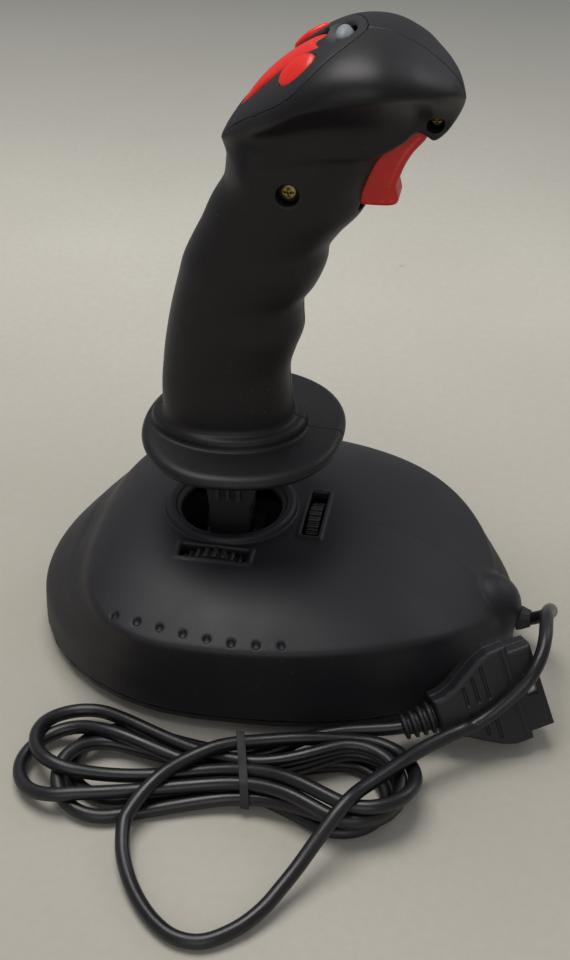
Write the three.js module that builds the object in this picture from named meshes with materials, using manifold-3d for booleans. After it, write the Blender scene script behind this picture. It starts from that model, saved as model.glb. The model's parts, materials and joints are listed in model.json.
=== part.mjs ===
// A desktop flight joystick: an egg-shaped base with a two-yoke gimbal, a hand grip with a skirt,
// a hooded head with thumb buttons, a hat and a trigger, and a tied game-port cable.
// Millimetres. +Z is up, +Y is the way the trigger points, +X is the user's right hand side.
// Inside the assembly group the gimbal's vertical axis is X = 0, Y = 0.
import * as THREE from "three";
import { mergeVertices } from "three/addons/utils/BufferGeometryUtils.js";
import Module from "manifold-3d";

const wasm = await Module();
wasm.setup();

// ---------------------------------------------------------------- driving dimensions
const GIMBAL_Y = -18.25; // moves the gimbal so that the base's box is centred on the origin
const PIVOT_Z = 33; // height of both gimbal axes
const GAP = 0.3; // clearance between neighbouring pieces
const SKIN = 2.6; // wall thickness of the moulded shells

const RIDGE = { half: 70.5, front: 102, rear: 51.5, bluntFront: 2.2, bluntRear: 2.6 };
const RIM = { half: 68, front: 110, rear: 73.5, bluntFront: 2.3, bluntRear: 2.05 };
const OUTLINE_POINTS = 32;
const RIDGE_Z = 40;
const NOSE_DROP = 16; // how much lower the ridge is at the front tip
const DOME_Z = 51.5;
const COVER_BOTTOM = 3;
const COVER_TOP = 6.5;
const COLLAR = { outer: 25.5, crest: 22.6, crestZ: 53.7, mouth: 19.8, throat: 16.8, throatZ: 44.5 };

const WHEEL = { radius: 18, width: 5, sideX: 30, frontY: 32, ribs: 26 };
const FRAME = { inner: 20, outer: 22.6, bottom: 25, top: 39, ear: 26 };

const SKIRT = { half: 39.8, front: 42.3, rear: 32, bottom: 85, top: 91 };
const SHAFT_TOP = 112;
const SCREW_PLACE = { y: 24.5, z: 189.5, seatX: 12.2 };
const CHIN_SCREW = { y: 69, z: 210.5, seatX: 5.5 };

const PANEL_TILT = THREE.MathUtils.degToRad(42);
const PANEL_ORIGIN = new THREE.Vector3(0, 20, 221);
const BUTTON_TOP = 4.6; // height of the button tops over the panel's plane
const BUTTON_FOOT = -7;
const BOARD_TOP = -15;
const HAT_V = 24.5;
const HAT_SEAT = -6; // height of the hat's underside in the panel's frame
const HAT_HOLE = 4.6;

const TRIGGER_PIVOT = { y: 61.5, z: 210 };
const TRIGGER_HALF = 6.4;

const CORD_RADIUS = 2.5;
const CORD_SIDES = 8;
const HANK = {
  bottom: 1.3, top: 9.4,
  leftX: 95, leftY: -34, leftR: 21,
  rightX: 96, rightY: 60.4, rightR: 21.4,
};
const TIE = { y: 22, width: 4, thick: 1 };

// ---------------------------------------------------------------- finishes
function finish(color, roughness, metalness = 0) {
  return new THREE.MeshStandardMaterial({ color, roughness, metalness });
}


const blackShell = finish(0x2a2a2e, 0.6);
const blackGrip = finish(0x232225, 0.55);
const redButton = finish(0xe23a2e, 0.4);
const redTrigger = finish(0xc42a20, 0.45);
const greyHat = finish(0x7d8388, 0.5);
const darkNylon = finish(0x1c1c1f, 0.5);
const rubber = finish(0x18181a, 0.8);
const steel = finish(0xb9b9bd, 0.3, 0.9);
const brassScrew = finish(0xa38f5c, 0.35, 0.9);
const boardGreen = finish(0x2e5b3a, 0.6);
const cordSkin = finish(0x1b1b1e, 0.35);
const tin = finish(0xc9cacc, 0.25, 1);

// ---------------------------------------------------------------- solid helpers
function manifoldFrom(positions, triangles) {
  return new wasm.Manifold(new wasm.Mesh({ numProp: 3, vertProperties: positions, triVerts: triangles }));
}

// A closed three.js geometry as a solid whose faces point outwards.
function solid(geometry) {
  const loose = geometry.index ? geometry.toNonIndexed() : geometry.clone();
  const bare = new THREE.BufferGeometry().setAttribute("position", loose.getAttribute("position"));
  const merged = mergeVertices(bare, 1e-4);
  const corners = merged.index.array;
  const kept = [];
  for (let i = 0; i < corners.length; i += 3) {
    const [a, b, c] = [corners[i], corners[i + 1], corners[i + 2]];
    if (a !== b && b !== c && a !== c) kept.push(a, b, c);
  }
  const made = manifoldFrom(merged.attributes.position.array, new Uint32Array(kept));
  if (made.volume() > 0) return made;
  for (let i = 0; i < kept.length; i += 3) [kept[i + 1], kept[i + 2]] = [kept[i + 2], kept[i + 1]];
  return manifoldFrom(merged.attributes.position.array, new Uint32Array(kept));
}

function geometryOf(body) {
  const mesh = body.getMesh();
  const geometry = new THREE.BufferGeometry();
  geometry.setAttribute("position", new THREE.BufferAttribute(new Float32Array(mesh.vertProperties), 3));
  geometry.setIndex(new THREE.BufferAttribute(new Uint32Array(mesh.triVerts), 1));
  geometry.computeVertexNormals();
  return geometry;
}

const joined = (first, ...rest) => rest.reduce((sum, body) => sum.add(body), first);
const without = (first, ...cuts) => cuts.reduce((left, body) => left.subtract(body), first);

// A box given by its low and high corners.
function block(low, high) {
  const size = high.map((value, i) => value - low[i]);
  const geometry = new THREE.BoxGeometry(...size);
  return solid(geometry.translate(...high.map((value, i) => (value + low[i]) / 2)));
}

const TURN_TO = {
  x: (geometry) => geometry.rotateZ(-Math.PI / 2),
  y: (geometry) => geometry,
  z: (geometry) => geometry.rotateX(Math.PI / 2),
};

// A round rod from one end to the other along a main axis; centre holds the two other coordinates' place.
function rod(axis, from, to, radius, centre, sides = 16) {
  const geometry = TURN_TO[axis](new THREE.CylinderGeometry(radius, radius, to - from, sides));
  const place = { ...centre, [axis]: (from + to) / 2 };
  return solid(geometry.translate(place.x ?? 0, place.y ?? 0, place.z ?? 0));
}

// A turned body: profile of [radius, height] pairs about a main axis, height measured along it.
function turned(axis, profile, centre = {}, sides = 20) {
  const geometry = new THREE.LatheGeometry(profile.map(([r, h]) => new THREE.Vector2(r, h)), sides);
  TURN_TO[axis](geometry);
  return solid(geometry.translate(centre.x ?? 0, centre.y ?? 0, centre.z ?? 0));
}

// A skin over rows of points; looped rows close on each other, otherwise both ends are capped.
function loft(rows, looped = false) {
  const count = rows[0].length;
  const points = rows.flat();
  const triangles = [];
  const spans = looped ? rows.length : rows.length - 1;
  for (let i = 0; i < spans; i++) {
    const near = i * count;
    const far = ((i + 1) % rows.length) * count;
    for (let j = 0; j < count; j++) {
      const k = (j + 1) % count;
      triangles.push(near + j, near + k, far + k, near + j, far + k, far + j);
    }
  }
  if (!looped) {
    for (const start of [0, (rows.length - 1) * count]) {
      const row = points.slice(start, start + count);
      const middle = row.reduce((sum, p) => sum.map((v, i) => v + p[i] / count), [0, 0, 0]);
      points.push(middle);
      for (let j = 0; j < count; j++) {
        const pair = [start + j, start + ((j + 1) % count)];
        triangles.push(points.length - 1, ...(start === 0 ? pair.reverse() : pair));
      }
    }
  }
  const geometry = new THREE.BufferGeometry();
  geometry.setAttribute("position", new THREE.BufferAttribute(new Float32Array(points.flat()), 3));
  geometry.setIndex(triangles);
  return solid(geometry);
}

// Turns an outline drawn in Y and Z, pushed along X, into place.
const ALONG_X = new THREE.Matrix4().makeBasis(
  new THREE.Vector3(0, 1, 0), new THREE.Vector3(0, 0, 1), new THREE.Vector3(1, 0, 0));

// A flat outline pushed along its normal, between two heights.
function slab(outline, low, high, frame) {
  const shape = new THREE.Shape(outline.map(([u, v]) => new THREE.Vector2(u, v)));
  const geometry = new THREE.ExtrudeGeometry(shape, { depth: high - low, bevelEnabled: false });
  geometry.translate(0, 0, low);
  if (frame) geometry.applyMatrix4(frame);
  return solid(geometry);
}

function ovalOutline(u, v, halfU, halfV, turn = 0, points = 14) {
  const outline = [];
  for (let i = 0; i < points; i++) {
    const angle = (2 * Math.PI * i) / points;
    const [a, b] = [halfU * Math.cos(angle), halfV * Math.sin(angle)];
    const [cosine, sine] = [Math.cos(turn), Math.sin(turn)];
    outline.push([u + a * cosine - b * sine, v + a * sine + b * cosine]);
  }
  return outline;
}

// A tube along a smooth curve through the given points.
function tube(points, radius, sides, steps) {
  const section = new THREE.Shape();
  for (let i = 0; i < sides; i++) {
    const angle = (2 * Math.PI * (i + 0.5)) / sides;
    const [u, v] = [radius * Math.cos(angle), radius * Math.sin(angle)];
    if (i === 0) section.moveTo(u, v);
    else section.lineTo(u, v);
  }
  const path = new THREE.CatmullRomCurve3(points.map((p) => new THREE.Vector3(...p)), false, "centripetal");
  return solid(new THREE.ExtrudeGeometry(section, { steps, extrudePath: path, bevelEnabled: false }));
}

// A coil spring about a main axis.
function coil(axis, centre, from, to, radius, wire, turns) {
  const perTurn = 8;
  const points = [];
  for (let i = 0; i <= turns * perTurn; i++) {
    const angle = (2 * Math.PI * i) / perTurn;
    const along = from + ((to - from) * i) / (turns * perTurn);
    const [u, v] = [radius * Math.cos(angle), radius * Math.sin(angle)];
    const { x = 0, y = 0, z = 0 } = centre;
    points.push(axis === "x" ? [along, y + u, z + v] : [x + u, along, z + v]);
  }
  return tube(points, wire, 4, turns * perTurn);
}

const assembly = new THREE.Group();
assembly.position.y = GIMBAL_Y;

function piece(name, body, material) {
  const mesh = new THREE.Mesh(geometryOf(body), material);
  mesh.name = name;
  assembly.add(mesh);
}

// ---------------------------------------------------------------- base: outlines and dome
const signedPower = (value, power) => Math.sign(value) * Math.abs(value) ** power;

// A point of an egg-shaped outline; turn 0 is the front tip.
function eggPoint(egg, turn, inset = 0) {
  const ahead = Math.cos(turn) >= 0;
  const power = 2 / (ahead ? egg.bluntFront : egg.bluntRear);
  const reach = (ahead ? egg.front : egg.rear) - inset;
  const across = (egg.half - inset) * signedPower(Math.sin(turn), power);
  return [across, reach * signedPower(Math.cos(turn), power)];
}

const mix = (a, b, share) => a + (b - a) * share;
const mixPoint = (p, q, share) => [mix(p[0], q[0], share), mix(p[1], q[1], share)];
const ridgeHeight = (turn) => RIDGE_Z - NOSE_DROP * Math.max(0, Math.cos(turn)) ** 5.5;

function eggRow(pointAt) {
  const row = [];
  for (let i = 0; i < OUTLINE_POINTS; i++) row.push(pointAt((2 * Math.PI * i) / OUTLINE_POINTS));
  return row;
}

// A row of the wall: share 0 is the rim and 1 the ridge.
function wallRow(share, heightAt, inset) {
  return eggRow((turn) => {
    const [x, y] = mixPoint(eggPoint(RIM, turn, inset), eggPoint(RIDGE, turn, inset), share);
    return [x, y, heightAt(turn)];
  });
}

// A row of the dome: share 0 is the ridge and 1 the collar's foot.
function domeRow(share, inset) {
  return eggRow((turn) => {
    const circle = [COLLAR.outer * Math.sin(turn), COLLAR.outer * Math.cos(turn)];
    const [x, y] = mixPoint(eggPoint(RIDGE, turn, inset), circle, share);
    const power = 2 + 0.6 * Math.max(0, Math.cos(turn));
    return [x, y, DOME_Z - inset - (DOME_Z - ridgeHeight(turn)) * (1 - share) ** power];
  });
}

const circleRow = (radius, z) => eggRow((turn) => [radius * Math.sin(turn), radius * Math.cos(turn), z]);
const kneeHeight = (turn) => COVER_TOP + 0.42 * (ridgeHeight(turn) - COVER_TOP);

function shellRows(inset) {
  return [
    wallRow(0, () => COVER_TOP + GAP, inset),
    wallRow(0.06, kneeHeight, inset),
    wallRow(0.93, (turn) => ridgeHeight(turn) - 2.4 - inset, inset),
    domeRow(0.05, inset),
    domeRow(0.3, inset),
    domeRow(0.65, inset),
  ];
}

const baseOuter = loft([...shellRows(0), circleRow(COLLAR.outer, DOME_Z - 0.3)]);

const CASE_BOSSES = [[42, -34], [-42, -34], [54, 26], [-54, 26]];
const FEET = { rear_right: [48, -8], rear_left: [-48, -8], front_right: [34, 70], front_left: [-34, 70] };
const FRAME_POSTS = [[1, 1], [-1, 1], [1, -1], [-1, -1]].map(([i, j]) => [i * FRAME.ear, j * FRAME.ear]);

function baseTopShell() {
  const collar = [
    circleRow(COLLAR.outer, DOME_Z - 0.3),
    circleRow(COLLAR.outer - 1, DOME_Z + 1.4),
    circleRow(COLLAR.crest, COLLAR.crestZ),
    circleRow(COLLAR.mouth + 0.8, COLLAR.crestZ - 0.6),
    circleRow(COLLAR.mouth, COLLAR.crestZ - 2),
    circleRow(COLLAR.throat, COLLAR.throatZ),
    circleRow(COLLAR.throat + 2, COLLAR.throatZ),
    circleRow(COLLAR.outer - 3, DOME_Z - SKIN),
  ];
  let shell = loft([...shellRows(0), ...collar, ...shellRows(SKIN).reverse()], true);
  for (const [x, y] of CASE_BOSSES) {
    shell = shell.add(rod("z", 9.3, 60, 4, { x, y }, 12).intersect(baseOuter));
    shell = shell.subtract(rod("z", 9, 24, 1.8, { x, y }, 10));
  }
  for (const [x, y] of FRAME_POSTS) {
    shell = shell.add(rod("z", 36.3, 60, 3.4, { x, y }, 12).intersect(baseOuter));
    shell = shell.subtract(rod("z", 36, 45, 1.6, { x, y }, 8));
  }
  const halfSlot = WHEEL.width / 2 + 0.6;
  const sideSlot = block([WHEEL.sideX - halfSlot, -13.2, 44], [WHEEL.sideX + halfSlot, 13.2, 60]);
  const frontSlot = block([-14.4, WHEEL.frontY - halfSlot, 44], [14.4, WHEEL.frontY + halfSlot, 60]);
  const cordHole = rod("y", 98, 115, 3.7, { z: 12.6 }, 12);
  return without(shell, sideSlot, frontSlot, cordHole);
}

function baseBottomCover() {
  const at = (inset, z) => wallRow(0, () => z, inset);
  let cover = loft([
    at(2.4, COVER_BOTTOM), at(0.4, COVER_BOTTOM + 1), at(0, COVER_TOP - 1), at(0, COVER_TOP),
    at(SKIN + 0.5, COVER_TOP), at(SKIN + 0.5, 9), at(SKIN + 2.3, 9), at(SKIN + 2.3, 5.2),
  ]);
  for (const [x, y] of CASE_BOSSES) {
    cover = cover.add(rod("z", 4, 9, 5.6, { x, y }, 14));
    cover = without(cover, rod("z", 2, 6.6, 3.5, { x, y }, 14), rod("z", 2, 10, 1.9, { x, y }, 10));
  }
  for (const [x, y] of Object.values(FEET)) cover = cover.subtract(rod("z", 2, 6, 4.4, { x, y }, 14));
  return cover;
}

// A screw along a main axis: pan head with a cross recess, and a shank; direction +1 points head first.
function screw(axis, seat, headRadius, shankRadius, length, direction, centre) {
  const along = (from, to) => {
    const ends = [seat + direction * from, seat + direction * to];
    return [Math.min(...ends), Math.max(...ends)];
  };
  const head = rod(axis, ...along(0, 2.2), headRadius, centre, 10);
  const shank = rod(axis, ...along(0.2, -length), shankRadius, centre, 6);
  const [low, high] = along(1.3, 3);
  const span = headRadius * 0.6;
  const arm = (u, v) => {
    if (axis === "z") return block([centre.x - u, centre.y - v, low], [centre.x + u, centre.y + v, high]);
    return block([low, centre.y - u, centre.z - v], [high, centre.y + u, centre.z + v]);
  };
  return without(head.add(shank), arm(span, 0.45), arm(0.45, span));
}

function foot([x, y]) {
  const profile = [
    [0, 0.8], [4.5, 0.8], [5, 0], [11.4, 0], [12, 0.6], [12, 2.7],
    [4, 2.7], [4, 5.6], [6, 5.6], [4, 8], [0, 8],
  ];
  return turned("z", profile, { x, y }, 16);
}

piece("base_top_shell", baseTopShell(), blackShell);
piece("base_bottom_cover", baseBottomCover(), blackShell);
for (const [corner, place] of Object.entries(FEET)) piece(`foot_${corner}`, foot(place), rubber);
CASE_BOSSES.forEach(([x, y], i) => {
  piece(`case_screw_${i + 1}`, screw("z", 6.3, 3, 1.5, 13, -1, { x, y }), steel);
});

// ---------------------------------------------------------------- gimbal
function gimbalFrame() {
  const { inner, outer, bottom, top, ear } = FRAME;
  let frame = block([-outer, -outer, bottom], [outer, outer, top]);
  for (const [x, y] of FRAME_POSTS) {
    const [sx, sy] = [Math.sign(x), Math.sign(y)];
    const low = [Math.min(sx * 18, x), Math.min(sy * 18, y), 33];
    const high = [Math.max(sx * 18, x), Math.max(sy * 18, y), 36];
    frame = joined(frame, block(low, high), rod("z", 33, 36, 4.2, { x, y }, 14));
    frame = frame.subtract(rod("z", 32, 37, 1.6, { x, y }, 8));
  }
  frame = frame.subtract(block([-inner, -inner, bottom - 1], [inner, inner, top + 1]));
  const bearingX = rod("x", -ear, ear, 2.8, { z: PIVOT_Z });
  const bearingY = rod("y", -ear, ear, 2.8, { z: PIVOT_Z });
  return without(frame, bearingX, bearingY);
}

// The cradle that tips fore and aft; the stick is pinned across it.
function pitchYoke() {
  const loop = block([-16, -10.5, PIVOT_Z - 4], [16, 10.5, PIVOT_Z + 4]);
  const trunnions = rod("x", -31, 38.5, 2.5, { z: PIVOT_Z });
  const inside = block([-12, -7, PIVOT_Z - 5], [12, 7, PIVOT_Z + 5]);
  return without(loop.add(trunnions), inside, rod("y", -12, 12, 1.8, { z: PIVOT_Z }, 12));
}

// The slotted swing that follows the stick from side to side.
function rollYoke() {
  const arms = joined(
    block([-4, -19.2, 17], [4, -16.6, PIVOT_Z + 4]),
    block([-4, 16.6, 17], [4, 19.2, PIVOT_Z + 4]),
    block([-5, -19.2, 17], [5, 19.2, 20]),
    rod("y", -31, -17, 2.5, { z: PIVOT_Z }),
    rod("y", 17, 41, 2.5, { z: PIVOT_Z }),
  );
  return arms.subtract(block([-2.9, -14, 16], [2.9, 14, 21]));
}

// The stick's root, its tail in the roll yoke's slot, and the flared square shaft up into the grip.
function stickShaft() {
  const square = (rear, front, half, z) => [
    [-half, rear, z], [half, rear, z], [half, front, z], [-half, front, z],
  ];
  const flared = loft([
    square(-7, 7, 6.8, 41.5), square(-7.2, 8.2, 7, 56),
    square(-9.5, 16, 9, 80), square(-9.5, 16, 9, SHAFT_TOP),
  ]);
  const neck = block([-5.5, -5.5, 28.5], [5.5, 5.5, 43]);
  const tail = rod("z", 14.5, 30, 2.5, {}, 12);
  const gusset = slab([[-9.8, 41.5], [-5, 41.5], [-5, 56], [-7.6, 56]], -1.6, 1.6, ALONG_X);
  const ribs = [-3.6, 0.4, 4.4].map((y) => block([6, y - 0.7, 60], [9.3, y + 0.7, 78]));
  const body = joined(flared, neck, tail, gusset, ...ribs);
  return body.subtract(rod("y", -9, 9, 1.8, { z: PIVOT_Z }, 12));
}

// A ribbed thumb wheel, its axis along X or Y.
function trimWheel(axis, centre) {
  const { radius, width, ribs } = WHEEL;
  const outline = [];
  for (let i = 0; i < ribs * 2; i++) {
    const angle = (Math.PI * i) / ribs;
    const reach = i % 2 ? radius - 1.1 : radius;
    outline.push([reach * Math.cos(angle), reach * Math.sin(angle)]);
  }
  const across = axis === "x"
    ? [new THREE.Vector3(0, 1, 0), new THREE.Vector3(0, 0, 1), new THREE.Vector3(1, 0, 0)]
    : [new THREE.Vector3(0, 0, 1), new THREE.Vector3(1, 0, 0), new THREE.Vector3(0, 1, 0)];
  const frame = new THREE.Matrix4().makeBasis(...across).setPosition(centre);
  const wheel = slab(outline, -width / 2, width / 2, frame);
  const bore = rod(axis, -60, 60, 2.9, { z: PIVOT_Z });
  return wheel.subtract(bore);
}

// A round potentiometer clipped to its trim wheel, with three solder tags.
function potentiometer(axis, from) {
  const can = rod(axis, from, from + 8, 8, { z: PIVOT_Z }, 20);
  const tags = [-3.5, 0, 3.5].map((side) => {
    const [low, high] = [from + 1, from + 2.2];
    return axis === "x"
      ? block([low, side - 0.8, PIVOT_Z - 12], [high, side + 0.8, PIVOT_Z - 7])
      : block([side - 0.8, low, PIVOT_Z - 12], [side + 0.8, high, PIVOT_Z - 7]);
  });
  return joined(can, ...tags).subtract(rod(axis, from - 1, from + 7.4, 2.8, { z: PIVOT_Z }, 12));
}

const wheelCentre = (x, y) => new THREE.Vector3(x, y, PIVOT_Z);
piece("gimbal_frame", gimbalFrame(), darkNylon);
FRAME_POSTS.forEach(([x, y], i) => {
  piece(`gimbal_screw_${i + 1}`, screw("z", 32.7, 2.8, 1.3, 11, -1, { x, y }), steel);
});
piece("pitch_yoke", pitchYoke(), darkNylon);
piece("roll_yoke", rollYoke(), darkNylon);
piece("gimbal_pin", rod("y", -10, 10, 1.5, { z: PIVOT_Z }, 12), steel);
piece("pitch_trim_wheel", trimWheel("x", wheelCentre(WHEEL.sideX, 0)), darkNylon);
piece("roll_trim_wheel", trimWheel("y", wheelCentre(0, WHEEL.frontY)), darkNylon);
piece("pitch_potentiometer", potentiometer("x", WHEEL.sideX + 2.9), darkNylon);
piece("roll_potentiometer", potentiometer("y", WHEEL.frontY + 2.9), darkNylon);
piece("pitch_spring", coil("x", { z: PIVOT_Z }, -30, -23.6, 3.8, 0.6, 4), steel);
piece("roll_spring", coil("y", { z: PIVOT_Z }, -30, -23.6, 3.8, 0.6, 4), steel);
piece("stick_shaft", stickShaft(), darkNylon);

// ---------------------------------------------------------------- grip, skirt and head
// Stations of the grip, bottom to top: height, rear edge, front edge, half width.
const GRIP = [
  [88, -24.5, 24.5, 18.4], [99, -24, 23.5, 17.8], [108, -23.8, 22.5, 17.4], [116, -23, 22.4, 17.2],
  [124, -22, 24.6, 17.4], [132, -20.6, 27.2, 17.6], [138, -19.4, 27, 17.4], [143, -18.2, 27.2, 17.4],
  [150, -16.4, 31.5, 17.8], [158, -14.2, 34.8, 18.2], [165, -11, 36, 18], [171, -8, 40, 18.2],
  [179, -4.5, 45.5, 18.6], [188, 0, 47.5, 19], [197, 1.6, 52, 18.8], [206, 4, 58, 18], [214, 10, 62, 17],
];
// Stations of the head, lip to nose: place along Y, top, half width, ridge height, underside, its half width.
const HEAD = [
  [-0.5, 200.6, 8, 199.6, 197.5, 6], [5, 208.5, 13.5, 204.5, 198.5, 10], [13, 217.3, 19.5, 211.5, 200, 15],
  [22, 225, 24, 219, 202, 16], [30, 230.4, 27, 224.5, 204, 16], [38, 234, 28.8, 228.4, 206, 15],
  [46, 236, 29.5, 230.4, 207, 14], [54, 236.2, 28, 230.8, 208, 12.5], [61, 234.4, 24.5, 229.5, 207, 11],
  [67, 230.6, 19.5, 227, 205, 9.5], [72, 226.8, 13.5, 224.6, 207, 8], [75.5, 223.4, 8, 222, 211, 5.5],
  [77.6, 219.8, 3, 219, 216, 2.5],
];
const GRIP_SIDES = 14;

function gripRows(inset) {
  return GRIP.map(([z, rear, front, half], i) => {
    const row = [];
    const [low, high] = [rear + inset, front - inset];
    const height = i === 0 ? z - inset : z;
    for (let j = 0; j < GRIP_SIDES; j++) {
      const angle = (2 * Math.PI * j) / GRIP_SIDES;
      const bulge = 1 - 0.1 * Math.cos(angle);
      const x = (half - inset) * signedPower(Math.sin(angle), 0.85) * bulge;
      row.push([x, (low + high) / 2 + ((high - low) / 2) * Math.cos(angle), height]);
    }
    return row;
  });
}

function headRows(inset) {
  return HEAD.map(([y, top, half, ridge, under, underHalf], i) => {
    const shift = i === 0 ? inset : i === HEAD.length - 1 ? -inset : 0;
    const halfX = Math.max(half - inset, 1);
    const row = [];
    for (let j = 0; j <= 8; j++) {
      const angle = (Math.PI * j) / 8;
      const rise = Math.max(top - ridge, 0.6) * Math.sin(angle) ** 0.75;
      const x = halfX * signedPower(Math.cos(angle), 0.8);
      row.push([x, y + shift, ridge + rise - inset * Math.sin(angle)]);
    }
    const underX = Math.max(underHalf - inset, 0.8);
    const underZ = Math.min(under + inset, ridge - 0.5);
    const hollowX = mix(halfX, underX, 0.75);
    const hollowZ = mix(ridge, underZ, 0.45);
    row.push([-hollowX, y + shift, hollowZ], [-underX, y + shift, underZ]);
    row.push([underX, y + shift, underZ], [hollowX, y + shift, hollowZ]);
    return row;
  });
}

function skirtRow(inset, z) {
  const egg = { half: SKIRT.half, front: SKIRT.front, rear: SKIRT.rear, bluntFront: 2.3, bluntRear: 2.0 };
  const row = [];
  for (let i = 0; i < 24; i++) row.push([...eggPoint(egg, (2 * Math.PI * i) / 24, inset), z]);
  return row;
}

const panelAxes = [
  new THREE.Vector3(1, 0, 0),
  new THREE.Vector3(0, Math.cos(PANEL_TILT), Math.sin(PANEL_TILT)),
  new THREE.Vector3(0, -Math.sin(PANEL_TILT), Math.cos(PANEL_TILT)),
];
const panelFrame = new THREE.Matrix4().makeBasis(...panelAxes).setPosition(PANEL_ORIGIN);

const inPanel = (u, v, h) => new THREE.Vector3(u, v, h).applyMatrix4(panelFrame);

// The thumb panel's outline in its own plane, grown by the given clearance.
function panelOutline(grow) {
  const edge = [[7, -29], [12, -20], [16.5, -6], [19.5, 7], [18, 18], [12, 26.5]];
  const right = edge.map(([u, v]) => [u + grow, v]);
  const left = right.map(([u, v]) => [-u, v]).reverse();
  return [...right, [0, 30.5 + grow], ...left];
}

const centreButtonOutline = (grow) => {
  const right = [[2.2, -17], [4, -10], [5.2, 0], [6, 10], [5.6, 16]].map(([u, v]) => [u + grow, v]);
  const left = right.map(([u, v]) => [-u, v]).reverse();
  return [[0, -18.5 - grow], ...right, [0, 17.4 + grow], ...left];
};
const sideButtonOutline = (side, grow) => ovalOutline(side * 11.6, 8, 4.4 + grow, 7.4 + grow, side * -0.32);

const gripOuter = loft(gripRows(0));
const headOuter = loft(headRows(0));
const headHollow = loft(headRows(SKIN + 0.4));
const gripHollow = loft(gripRows(SKIN + 0.4).filter((row, i) => i % 2 === 0));

function stickSkin() {
  const skirt = loft([
    skirtRow(2, SKIRT.bottom), skirtRow(0.2, SKIRT.bottom + 1.4), skirtRow(0, SKIRT.bottom + 3),
    skirtRow(0.9, SKIRT.top - 0.8), skirtRow(3, SKIRT.top),
  ]);
  const step = loft([[0, 90], [0.5, 93.6], [2.6, 95.6]].map(([inset, z]) => {
    const row = [];
    for (let j = 0; j < 20; j++) {
      const angle = (2 * Math.PI * j) / 20;
      row.push([(22 - inset) * Math.sin(angle), (28.5 - inset) * Math.cos(angle), z]);
    }
    return row;
  }));
  const underside = loft([skirtRow(3.4, SKIRT.bottom - 1), skirtRow(3.4, SKIRT.bottom + 2.4)]);
  const outer = joined(gripOuter, headOuter, skirt, step);
  const shaftWay = block([-9.5, -10, 80], [9.5, 16.5, SHAFT_TOP + 1]);
  return without(outer, headHollow, gripHollow, underside, shaftWay);
}

function triggerSlot() {
  const outline = [
    [39.5, 177], [70, 177], [70, 203.5], [67.6, 205.5], [68, 216], [50, 216], [44, 204], [39.5, 196],
  ];
  return slab(outline, -7, 7, ALONG_X);
}

// One side of the grip: +1 is the right half, which the screws go in from.
function gripHalf(skin, side) {
  const half = side > 0 ? block([0.15, -80, 60], [60, 100, 260]) : block([-60, -80, 60], [-0.15, 100, 260]);
  const whole = gripOuter.add(headOuter);
  const post = (y, z, radius, reach) => {
    const [from, to] = side > 0 ? [0.1, reach] : [-reach, -0.1];
    return rod("x", from, to, radius, { y, z }, 14).intersect(whole);
  };
  const spots = [SCREW_PLACE, CHIN_SCREW];
  let body = joined(skin, ...spots.map(({ y, z }, i) => post(y, z, i ? 4 : 5.4, i ? 12 : 22)));
  body = body.add(post(TRIGGER_PIVOT.y, TRIGGER_PIVOT.z, 3.6, 16));
  body = without(body, triggerSlot(), rod("x", -10.3, 10.3, 1.5, TRIGGER_PIVOT, 10));
  body = body.subtract(slab(panelOutline(GAP), -14.3, 30, panelFrame));
  for (const { y, z, seatX } of spots) {
    body = body.subtract(rod("x", -8, seatX + 1, 1.7, { y, z }, 10));
    if (side > 0) body = body.subtract(rod("x", seatX, 40, 3.9, { y, z }, 14));
  }
  const parts = body.intersect(half).decompose();
  return parts.reduce((best, part) => (part.volume() > best.volume() ? part : best));
}

function thumbPanel() {
  const plate = headOuter.subtract(headHollow).intersect(slab(panelOutline(0), -14, 30, panelFrame));
  const holes = [
    slab(centreButtonOutline(GAP + 0.1), -20, 20, panelFrame),
    slab(sideButtonOutline(1, GAP), -20, 20, panelFrame),
    slab(sideButtonOutline(-1, GAP), -20, 20, panelFrame),
    slab(ovalOutline(0, HAT_V, HAT_HOLE, HAT_HOLE), -20, 20, panelFrame),
  ];
  const parts = without(plate, ...holes).decompose();
  return parts.reduce((best, part) => (part.volume() > best.volume() ? part : best));
}

function thumbButton(outline) {
  const middle = [0, 1].map((i) => outline.reduce((sum, p) => sum + p[i] / outline.length, 0));
  const crown = outline.map(([u, v]) => [mix(middle[0], u, 0.8), mix(middle[1], v, 0.9)]);
  const row = (points, h) => points.map(([u, v]) => inPanel(u, v, h).toArray());
  return loft([row(outline, BUTTON_FOOT), row(outline, BUTTON_TOP - 1.6), row(crown, BUTTON_TOP)]);
}

function panelBlock(low, high) {
  const size = high.map((value, i) => value - low[i]);
  const geometry = new THREE.BoxGeometry(...size).translate(...high.map((value, i) => (value + low[i]) / 2));
  return solid(geometry.applyMatrix4(panelFrame));
}

function panelTurned(profile, u, v, sides = 14) {
  const geometry = new THREE.LatheGeometry(profile.map(([r, h]) => new THREE.Vector2(r, h)), sides);
  geometry.rotateX(Math.PI / 2).translate(u, v, 0);
  return solid(geometry.applyMatrix4(panelFrame));
}

const SWITCHES = { centre: [0, 0], right: [9.4, 9], left: [-9.4, 9] };

function buttonBoard() {
  return panelBlock([-11.5, -6, BOARD_TOP - 1.6], [11.5, 27, BOARD_TOP]);
}

// A square key switch with a round plunger.
function tactSwitch([u, v]) {
  const low = BOARD_TOP + GAP;
  const plunger = [[0, low + 2], [1.7, low + 2], [1.7, BUTTON_FOOT - 1.7], [0, BUTTON_FOOT - 1.7]];
  return panelBlock([u - 2.6, v - 3, low], [u + 2.6, v + 3, low + 4]).add(panelTurned(plunger, u, v));
}

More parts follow.
